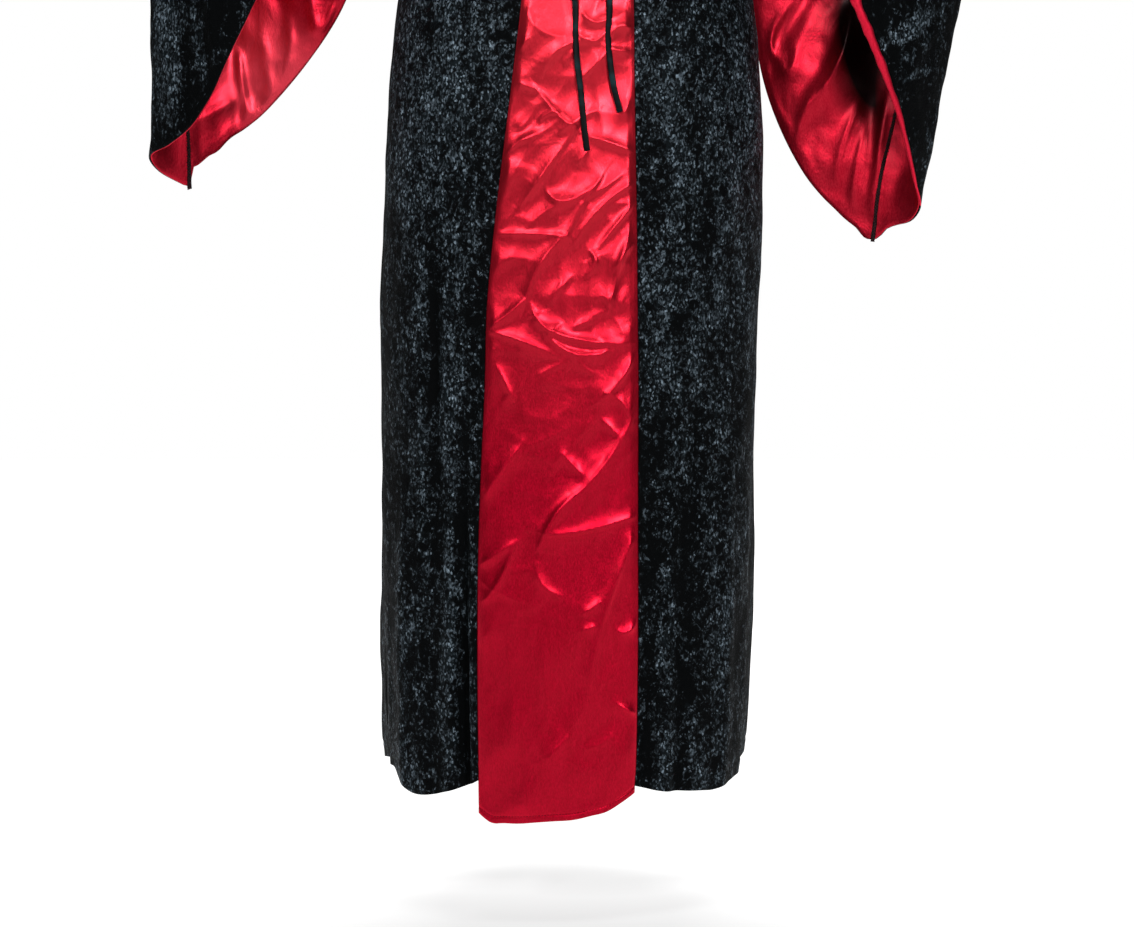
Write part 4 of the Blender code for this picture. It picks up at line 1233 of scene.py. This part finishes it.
# The left lining's turned edge: where it runs, as shares of the way round, its lift, and its width by share
EDGE_SPAN = (0.15, 0.50)
EDGE_LIFT = 0.0013
EDGE_WIDTHS = ((0.0, 0.006), (0.2, 0.0100), (0.5, 0.0085), (0.8, 0.0050), (1.0, 0.0020))
EDGE_SIDES = 14
# A hem stitch: length, gap, lift, half width and half thickness. The stitches are on the satin's back hem
STITCH, STITCH_GAP, STITCH_LIFT, STITCH_SIDE, STITCH_THICK = 0.0022, 0.0009, 0.0003, 0.00035, 0.0004
# A bound seam's threads: spacing, slant, half thickness and lift, and the rings of each: share, size
THREAD_STEP, THREAD_SLANT, THREAD_THICK, THREAD_LIFT = 0.0016, 0.0009, 0.00055, 0.0006
THREAD_RINGS = ((0.0, 0.35), (0.25, 1.0), (0.75, 1.0), (1.0, 0.35))
THREAD_SIDES = 6
# The knot's half sizes, and where the tie's sides end beside it and at the seams
KNOT_SIZES = np.array([0.0068, 0.0044, 0.0059])
KNOT_LIFT = 0.0012
TIE_STOPS = (0.0006, 0.0073)
FORWARD = np.array([0.0, -1.0, 0.0])


# Small pieces

def stitches(name, line, outward, kind):
    """A row of short stitches along a line, each a small closed spindle."""
    steps = lengths(line)
    verts, faces = [], []
    for mark in np.arange(STITCH_GAP, steps[-1] - STITCH_GAP, STITCH + STITCH_GAP):
        ends = read_at((mark, mark + STITCH), steps, line)
        up = unit(read_at(mark, steps, outward))
        side = np.cross(unit(ends[1] - ends[0]), up) * STITCH_SIDE
        middle = (ends[0] + ends[1]) / 2 + up * STITCH_LIFT
        first = len(verts)
        verts += [*(ends + up * STITCH_LIFT * 0.3), middle + side, middle + up * STITCH_THICK]
        verts += [middle - side, middle - up * STITCH_THICK]
        for a, b in ((2, 3), (3, 4), (4, 5), (5, 2)):
            faces += [(first, first + b, first + a), (first + 1, first + a, first + b)]
    return mesh_object(name, verts, faces, kind)


def tube_faces(rings, around, first=0):
    """The faces of a closed tube whose rings of points are numbered from first."""
    faces = []
    for start in range(first, first + (rings - 1) * around, around):
        for turn in range(around):
            a, b = start + turn, start + (turn + 1) % around
            faces.append((a, b, b + around, a + around))
    last = first + (rings - 1) * around
    return faces + [tuple(range(first + around - 1, first - 1, -1)), tuple(range(last, last + around))]


def overlock(name, line, width, kind):
    """The bound edge of a seam: slanting threads side by side, over a narrow core."""
    steps = lengths(line)
    at = read_at(np.arange(0.0005, steps[-1], THREAD_STEP), steps, line)
    way = unit(np.gradient(at, axis=0))
    side = unit(np.cross(way, FORWARD))
    verts, faces = [], []
    for k in range(len(at)):
        slant = THREAD_SLANT if k % 2 else -THREAD_SLANT
        start = at[k] - side[k] * width / 2 - way[k] * slant
        end = at[k] + side[k] * width / 2 + way[k] * slant
        faces += tube_faces(len(THREAD_RINGS), THREAD_SIDES, len(verts))
        for share, grow in THREAD_RINGS:
            middle = start * (1 - share) + end * share + FORWARD * THREAD_LIFT
            for turn in range(THREAD_SIDES):
                a = 2 * pi * turn / THREAD_SIDES
                verts.append(middle + (way[k] * cos(a) + FORWARD * sin(a)) * THREAD_THICK * grow)
    return mesh_object(name, verts, faces, kind)


def turned_edge(name, line, widths, kind, half_thick=0.0020):
    """A rolled edge of satin along the front of a cuff: a flattened tube whose width follows a table."""
    way = unit(np.gradient(line, axis=0))
    side = unit(np.cross(way, FORWARD))
    outward = unit(np.cross(side, way))
    outward = outward * np.where(outward[:, 1:2] > 0, -1, 1)
    shares = np.linspace(0, 1, len(line))
    wide = np.interp(shares, *zip(*widths))
    wide = wide * (1 + 0.10 * np.sin(shares * 37) + 0.07 * np.sin(shares * 83 + 1))
    a = np.linspace(0, 2 * pi, EDGE_SIDES, endpoint=False)
    rings = line[:, None] + side[:, None] * (np.cos(a)[None] * wide[:, None] / 2)[..., None]
    rings = rings + outward[:, None] * ((np.sin(a)[None] + 0.6) * half_thick)[..., None]
    return mesh_object(name, rings.reshape(-1, 3), tube_faces(len(line), EDGE_SIDES), kind)


def knot(line):
    """The tie's knot: a small bundle with slanting turns of ribbon round it."""
    front = float(np.interp(KNOT_X, line[:, 0], line[:, 1]))
    around = np.linspace(0, 2 * pi, 48, endpoint=False)
    rings = np.linspace(0, pi, 25)[1:-1]
    middle = np.array([KNOT_X, front - KNOT_LIFT - KNOT_SIZES[1], WAIST_TIE_Z])
    verts = [middle + KNOT_SIZES * [0, 0, 1]]
    for polar in rings:
        for turn in around:
            way = np.array([sin(polar) * cos(turn), sin(polar) * sin(turn), cos(polar)])
            ridge = 0.93 + 0.07 * abs(sin(2.5 * way[0] * 1.6 + 3.6 * way[2]))
            verts.append(middle + KNOT_SIZES * way * ridge)
    verts.append(middle - KNOT_SIZES * [0, 0, 1])
    faces = []
    n, last = len(around), len(verts) - 1
    for k in range(n):
        faces.append((0, 1 + k, 1 + (k + 1) % n))
        faces.append((last, last - n + (k + 1) % n, last - n + k))
    for start in range(1, last - n, n):
        for k in range(n):
            a, b = start + k, start + (k + 1) % n
            faces.append((a, a + n, b + n, b))
    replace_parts(mesh_object("tie_knot_ribbon", verts, faces, "ribbon"), "tie_knot")


def waist_ties(line):
    """The ribbon over the front panel, from each princess seam to the knot."""
    steps = lengths(line)
    mark = float(np.interp(KNOT_X, line[:, 0], steps))
    edge, beside = TIE_STOPS
    spans = {"tie_right": (edge, mark - beside), "tie_left": (mark + beside, steps[-1] - edge)}
    for name, (start, end) in spans.items():
        middle = read_at(np.linspace(start, end, 25), steps, line)
        up = np.tile([0.0, 0.0, 1.0], (len(middle), 1))
        outward = unit(np.cross(unit(np.gradient(middle, axis=0)), up))
        lift = TIE_LIFT + 0.0003 * np.sin(np.linspace(0, 5, 25))[:, None]
        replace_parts(ribbon(name + "_ribbon", middle + outward * lift, up, outward, 0.0002), name)


def sleeve_trim(word, lining, facing):
    """The bound seam inside a bell and, on the left, the lining's turned edge."""
    count, columns = lining.shape[:2]
    share, lean, start, width = SLEEVE_SEAMS[word]
    rows = np.arange(round(count * start), count)
    seam = (share + lean * (1 - (rows - rows[0]) / len(rows))) * columns
    left, part = seam.astype(int), (seam % 1)[:, None]
    line = lining[rows, left] * (1 - part) + lining[rows, left + 1] * part
    tail = line[-1] + np.outer([0.4, 0.7, 1.0], unit(line[-1] - line[-3])) * SEAM_TAIL
    line = np.vstack([line, tail]) - [0.0, SEAM_LIFT, 0.0]
    overlock(f"sleeve_seam_{word}", line, width, "brown_thread")
    turned_edge(f"sleeve_seam_core_{word}", line, ((0.0, width * 0.5), (1.0, width)), "dark_thread", 0.0005)
    if word == "left":
        span = slice(*(round(share * columns) for share in EDGE_SPAN))
        edge = lining[-1, span] + facing[-1, span] * EDGE_LIFT
        turned_edge("lining_edge_left", edge, EDGE_WIDTHS, "turned")


def hem_stitches(cloth, facing, heights):
    """Stitches along the row of the finer satin that lies closest to the hem's stitching."""
    hem = edge_distance(cloth, 0, -1)
    row = int(np.argmin(np.abs(hem[:, 35] - SATIN_HEM)))
    line = cloth[row] + facing[row] * (heights[row][:, None] + SATIN / 2)
    stitches("hem_stitches", line[2:-2], facing[row][2:-2], "red_thread")


# Stage and light

def make_stage():
    size = 3.0
    mesh = bpy.data.meshes.new("floor")
    corners = ((-size, -size), (size, -size), (size, size), (-size, size))
    mesh.from_pydata([(x, y, FLOOR_Z) for x, y in corners], [], [(0, 1, 2, 3)])
    floor = bpy.data.objects.new("floor", mesh)
    floor.data.materials.append(floor_material("pale_paper", (0.62, 0.62, 0.62), 0.76))
    bpy.context.scene.collection.objects.link(floor)


LIGHTS = {
    # place, aim, size, power
    "key": ((-1.1, -2.9, 0.7), (0.0, 0.0, -0.85), (0.5, 0.6), 36),
    "side": ((1.0, -3.0, 0.4), (0.0, 0.0, -0.80), (0.5, 0.7), 46),
    "top": ((0.3, -0.9, 1.4), (0.0, 0.0, -1.0), (1.2, 0.5), 12),
    "back": ((0.0, 2.6, 1.6), (0.0, 0.8, FLOOR_Z), (3.5, 1.0), 100),
}
# The white studio's own light, which is less than the white that the camera sees
STUDIO_LIGHT = 0.05


def make_light():
    """A white studio with soft lights in front, above and behind."""
    graph = Graph(bpy.data.worlds.new("studio"))
    shade = graph.nodes["Background"]
    graph.fill(shade, {0: (1, 1, 1), 1: STUDIO_LIGHT})
    white = graph.add("ShaderNodeBackground", {0: (1, 1, 1), 1: 1.0})
    seen = graph.add("ShaderNodeLightPath").outputs["Is Camera Ray"]
    both = graph.add("ShaderNodeMixShader", {0: seen, 1: shade.outputs[0], 2: white.outputs[0]})
    graph.fill(graph.nodes["World Output"], {0: both.outputs[0]})
    bpy.context.scene.world = graph.owner
    for name, (place, aim, size, power) in LIGHTS.items():
        data = bpy.data.lights.new(name, "AREA")
        data.shape = "RECTANGLE"
        data.size, data.size_y = size
        data.energy = power
        aimed(name, data, place, aim)
    bpy.context.scene.view_settings.view_transform = "Standard"


def sleeve_top(word, fine):
    """The armhole's points and directions, from the finer cloth of the front and the back."""
    rows = YOKE_ROWS * VELVET_DOWN + 1
    edges = []
    for part in (0, 1):
        front, back = fine[f"front_side_{word}"][part][:rows, -1], fine[f"back_{word}"][part][:rows, 0]
        edges.append(np.vstack([front[::-1], back[1:-1]]))
    return edges


def waist_line(grid):
    """The line across the front panel at the height of the tie."""
    at = int(np.searchsorted(-grid[:, 0, 2], -WAIST_TIE_Z)) - 1
    t = (-WAIST_TIE_Z + grid[at, 0, 2]) / (grid[at, 0, 2] - grid[at + 1, 0, 2])
    return grid[at] * (1 - t) + grid[at + 1] * t


def main():
    make_camera()
    for name, points in TIE_ENDS.items():
        tie_end(name, points)
    grids = panels()
    for word in ("right", "left"):
        grids[f"sleeve_{word}"] = sleeve_grid(word, grids)
    normals = shared_normals(grids)
    for name in HEMS:
        for column in (0, -1):
            normals[name][-1, column] = normals[name][-2, column]
    fine = {name: body_piece(name, grids, normals) for name in HEMS}
    for word in ("right", "left"):
        grid, out = grids[f"sleeve_{word}"], normals[f"sleeve_{word}"]
        sleeve(word, grid, out, sleeve_top(word, fine))
        lining = sleeve_lining(word, grid[LINING_FIRST_RING:], out[LINING_FIRST_RING:])
        sleeve_trim(word, *lining)
    hem_stitches(*fine["front_centre"])
    waist = waist_line(grids["front_centre"])
    waist_ties(waist)
    knot(waist)
    make_stage()
    make_light()
    bpy.context.view_layer.update()


main()
